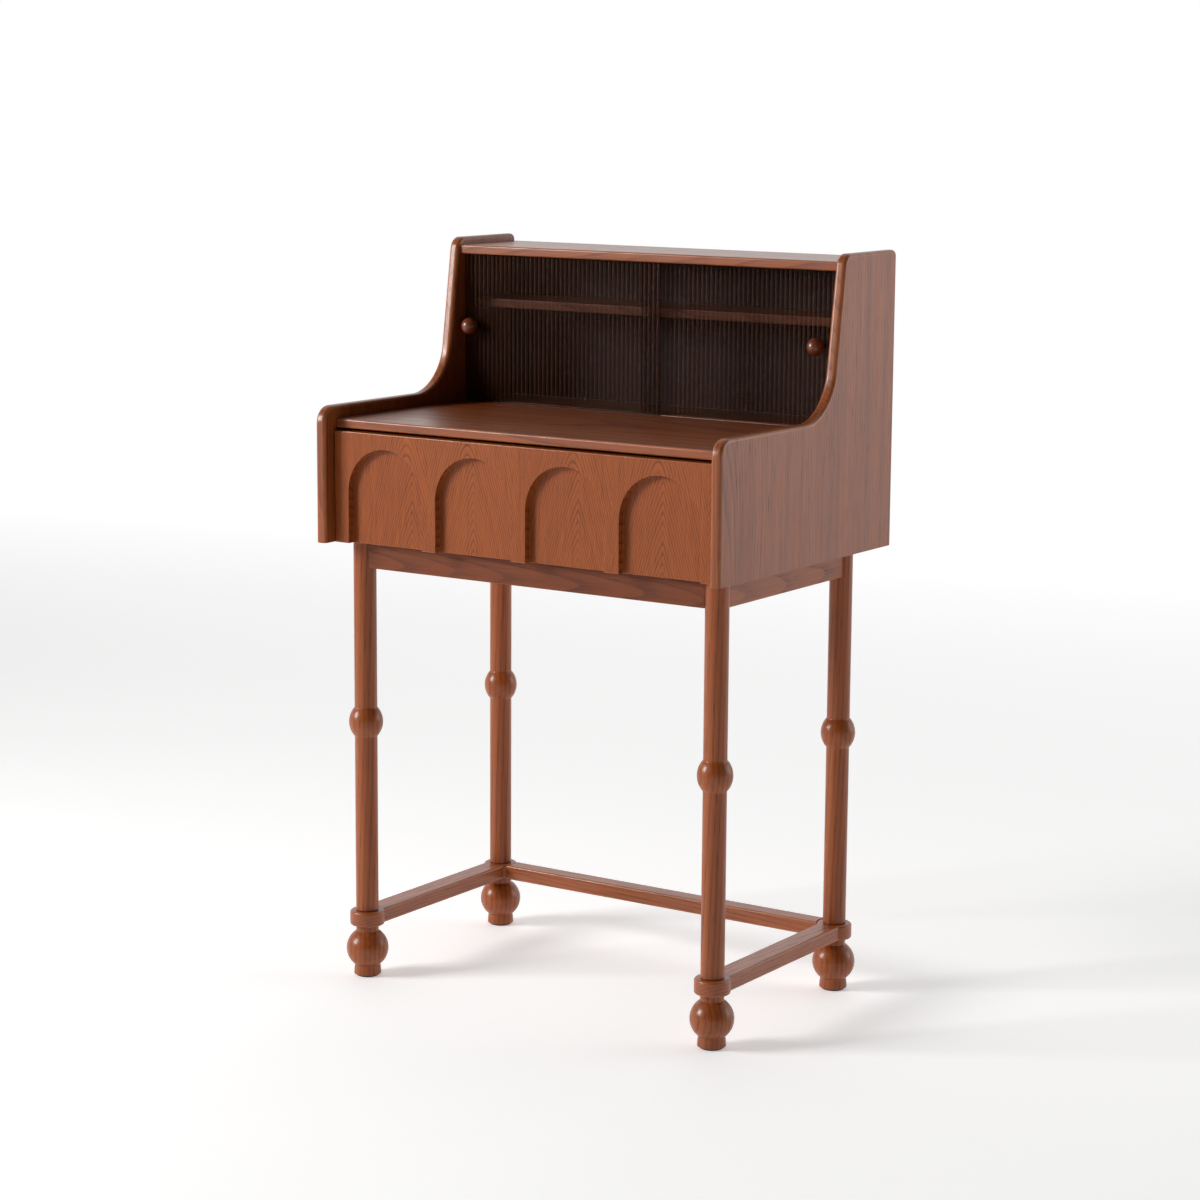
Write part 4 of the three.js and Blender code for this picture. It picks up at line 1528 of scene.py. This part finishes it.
@dataclass
class Rails(SubAssembly):
    """The aprons under the case, their corner blocks, and the low stretchers.

    Attributes:
        leg_radius: The legs' radius.
        boss_radius: The radius of a stretcher's round boss.
        side_rail: The side stretchers' width.
        round_over: The round along a stretcher's edges.
        arris: The round along an apron's lower edges.
        bolt_hole: The radius of the hole for a leg bolt.
        gap: The room where a rail meets a round.
    """

    leg_radius: float = 0.015
    boss_radius: float = 0.023
    side_rail: float = 0.032
    round_over: float = 0.003
    arris: float = 0.0015
    bolt_hole: float = 0.0043
    gap: float = 0.0003

    def leg_places(self) -> dict[str, Vector]:
        """The axis of each leg."""
        return {corner: centre_of(f"leg_{corner}") for corner in CORNERS}

    def scribes(self, legs: Iterable[Vector], low: Vector, high: Vector, radius: float) -> list[Workpiece]:
        """Round cutters that fit a rail's ends to what they meet.

        Args:
            legs: The axes of the two rounds.
            low: The rail's lowest corner.
            high: The rail's highest corner.
            radius: The rounds' radius.

        Returns:
            The cutters.
        """
        level, width = middle(low, high).z, radius + self.gap
        return [Workpiece.dowel("scribe", (leg.x, leg.y, level), width, 0.1) for leg in legs]

    def apron(self, name: str, node: str, ends: Sequence[str]) -> Workpiece:
        """An apron, scribed to the legs at both ends.

        Args:
            name: The piece's name.
            node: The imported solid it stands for.
            ends: The two corners it runs between.

        Returns:
            The apron on the bench.
        """
        low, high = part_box(node)
        legs = self.leg_places()
        start, end = legs[ends[0]], legs[ends[1]]
        size = high - low
        low, high = low.copy(), high.copy()
        along, flat = (0, 1) if size.x > size.y else (1, 0)
        low[along], high[along] = sorted((start[along], end[along]))
        apron = Workpiece.block(name, low, high)
        apron.bevel(lambda e: at(e, 2, low.z) and runs_flat(e, flat), self.arris, 3)
        apron.combine(self.scribes((start, end), low, high, self.leg_radius))
        return apron

    def side_stretcher(self, side: str) -> Workpiece:
        """A side stretcher: a flat rail with a round boss under each leg.

        Args:
            side: left or right.

        Returns:
            The stretcher on the bench.
        """
        node = f"stretcher_{side}"
        low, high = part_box(node)
        legs = self.leg_places()
        ends = [legs[f"front_{side}"], legs[f"rear_{side}"]]
        x, half = ends[0].x, self.side_rail / 2
        height = high.z - low.z
        start, end = (x - half, ends[0].y, low.z), (x + half, ends[1].y, high.z)
        rail = Workpiece.block(f"side_stretcher_{side}", start, end)
        level = middle(low, high).z
        rail.combine(
            [Workpiece.dowel("boss", (x, leg.y, level), self.boss_radius, height, sides=72) for leg in ends],
            "UNION",
        )
        rail.edit()
        select_everything()
        bpy.ops.mesh.remove_doubles(threshold=SMALL)
        select_everything()
        bpy.ops.mesh.dissolve_limited(angle_limit=FLAT)
        for face in (low.z, high.z):
            rail.bevel(lambda e, face=face: at(e, 2, face), self.round_over, 4)
        rail.combine(
            [Workpiece.dowel("bolt_hole", (x, leg.y, level), self.bolt_hole, 0.05, sides=24) for leg in ends]
        )
        return rail

    def rear_stretcher(self) -> Workpiece:
        """The rear stretcher, scribed to the side stretchers' bosses.

        Returns:
            The stretcher on the bench.
        """
        low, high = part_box("stretcher_rear")
        legs = self.leg_places()
        left, right = legs["rear_left"], legs["rear_right"]
        rail = Workpiece.block("rear_stretcher_rail", (left.x, low.y, low.z), (right.x, high.y, high.z))
        rail.bevel(lambda e: runs_flat(e, 1) and runs_flat(e, 2), self.round_over * 0.8, 4)
        rail.combine(self.scribes((left, right), low, high, self.boss_radius))
        return rail

    def build(self) -> None:
        """Builds and dresses every rail."""
        aprons = {
            "front_apron": ("front_left", "front_right"),
            "rear_apron": ("rear_left", "rear_right"),
            "left_apron": ("front_left", "rear_left"),
            "right_apron": ("front_right", "rear_right"),
        }
        for index, (node, ends) in enumerate(aprons.items()):
            apron = self.apron(f"{node}_rail", node, ends)
            apron.refine(widest=0.0012)
            along = Grain.ALONG_X if index < 2 else Grain.ALONG_Y
            pith = ((0.008, 0.014), (0.02, 0.04), (0.04, 0.01), (-0.03, 0.008))[index]
            stain = DEEP_BROWN if index < 2 else RED_BROWN
            wood = self.timber(
                node, grain=along, stain=stain, pith=pith, taper=0.06, ring=0.0055, figure=0.7, gloss=0.28,
                seed=2.3 * index,
            )
            self.fit(apron, node, "case", "stained_ash", wood)
        for index, side in enumerate(SIDES):
            rail = self.side_stretcher(side)
            rail.smooth()
            rail.mark_wear_and_highlight_edges(0.0014)
            wood = self.timber(
                f"stretcher_{side}", grain=Grain.ALONG_Y, pith=(0.03, 0.06), taper=0.03, figure=0.6,
                seed=3.1 + index,
            )
            self.fit(rail, f"stretcher_{side}", "case", "stained_ash", wood)
        rear = self.rear_stretcher()
        rear.refine(0.0005, widest=0.0014)
        wood = self.timber(
            "stretcher_rear", grain=Grain.ALONG_X, pith=(0.05, 0.04), taper=0.03, figure=0.6, seed=5.5
        )
        self.fit(rear, "stretcher_rear", "case", "stained_ash", wood)
        for index, corner in enumerate(CORNERS):
            node = f"corner_block_{corner}"
            block = Workpiece.from_node(f"glue_block_{corner}", node)
            block.refine(0.0008, 50)
            wood = self.timber(node, grain=Grain.ALONG_X, pith=(0.03, 0.05), seed=6.0 + index)
            self.fit(block, node, "case", "stained_ash", wood)


@dataclass
class Studio:
    """The floor, the lights and the camera.

    Attributes:
        eye: The camera's place.
        yaw: Its turn around the upright axis, in degrees.
        pitch: Its tilt, in degrees.
        roll: Its roll, in degrees.
        lens: Its focal length in millimetres.
        bright_side: The direction of the white wall.
        bright: The brightness of that wall.
        dim: The brightness opposite it.
    """

    eye: tuple[float, float, float] = (2.18097, -3.2623, 1.19666)
    yaw: float = 33.83
    pitch: float = -9.86
    roll: float = 0.37
    lens: float = 91.54
    bright_side: tuple[float, float, float] = (-0.30, 1.0, -0.32)
    bright: float = 1.0
    dim: float = 0.04

    def camera(self) -> None:
        """Stands the camera in its place."""
        data = bpy.data.cameras.new("camera")
        data.lens = self.lens
        data.sensor_width = 36
        data.clip_end = 200
        camera = bpy.data.objects.new("camera", data)
        bpy.context.scene.collection.objects.link(camera)
        camera.matrix_world = (
            Matrix.Translation(self.eye)
            @ Matrix.Rotation(math.radians(self.yaw), 4, "Z")
            @ Matrix.Rotation(math.radians(90 + self.pitch), 4, "X")
            @ Matrix.Rotation(math.radians(self.roll), 4, "Z")
        )
        bpy.context.scene.camera = camera

    def lamp(
        self, name: str, place: Sequence[float], aim: Sequence[float], size: tuple[float, float],
        power: float, spread: float,
    ) -> None:
        """Hangs one soft box.

        Args:
            name: The lamp's name.
            place: Where it hangs.
            aim: The point it faces.
            size: Its width and height.
            power: Its power in watts.
            spread: How wide its light opens, in degrees.
        """
        data = bpy.data.lights.new(name, "AREA")
        data.shape = "RECTANGLE"
        data.spread = math.radians(spread)
        data.size, data.size_y = size
        data.energy = power
        lamp = bpy.data.objects.new(name, data)
        bpy.context.scene.collection.objects.link(lamp)
        lamp.location = place
        lamp.rotation_euler = (Vector(aim) - Vector(place)).to_track_quat("-Z", "Y").to_euler()

    def surround(self, tree: bpy.types.NodeTree) -> None:
        """A studio that is white behind the desk and dim in front of it.

        Args:
            tree: The world's nodes.
        """
        nodes, links = tree.nodes, tree.links
        way = nodes.new("ShaderNodeTexCoord")
        facing = nodes.new("ShaderNodeVectorMath")
        facing.operation = "DOT_PRODUCT"
        facing.inputs[1].default_value = Vector(self.bright_side).normalized()
        span = nodes.new("ShaderNodeMapRange")
        span.interpolation_type = "SMOOTHSTEP"
        span.inputs["From Min"].default_value = -0.45
        span.inputs["From Max"].default_value = 0.60
        span.inputs["To Min"].default_value = self.dim
        span.inputs["To Max"].default_value = self.bright
        links.new(way.outputs["Generated"], facing.inputs[0])
        links.new(facing.outputs["Value"], span.inputs["Value"])
        path = nodes.new("ShaderNodeLightPath")
        seen = nodes.new("ShaderNodeMath")
        seen.operation = "MAXIMUM"
        links.new(span.outputs["Result"], seen.inputs[0])
        links.new(path.outputs["Is Camera Ray"], seen.inputs[1])
        links.new(seen.outputs[0], nodes["Background"].inputs["Strength"])
        nodes["Background"].inputs["Color"].default_value = (1, 1, 1, 1)

    def build(self) -> None:
        """Builds the studio around the desk."""
        clear_selection()
        bpy.ops.mesh.primitive_circle_add(vertices=96, radius=60, fill_type="NGON", location=(0, 0, 0))
        floor = bpy.context.active_object
        floor.name = "floor"
        floor.data.materials.append(StudioFloor().make())
        world = bpy.data.worlds.new("studio")
        world.use_nodes = True
        self.surround(world.node_tree)
        bpy.context.scene.world = world
        self.lamp("key", (-2.9, -2.8, 2.1), (0, 0, 0.60), (1.5, 1.5), 45, spread=90)
        self.lamp("back_right", (3.4, 3.0, 1.5), (0, 0, 0.7), (2.2, 2.2), 13, spread=110)
        bpy.context.scene.view_settings.view_transform = "Standard"
        self.camera()


def main() -> None:
    """Builds the desk on its frame, and the studio around it."""
    logging.basicConfig(level=logging.INFO, format="%(name)s: %(message)s")
    for part in (SidePanels, CaseBoards, SlidingDoors, Drawer, Runners, TurnedBase, Rails, Studio):
        LOG.info("building %s", part.__name__)
        part().build()
    clear_selection()


if __name__ == "__main__":
    main()
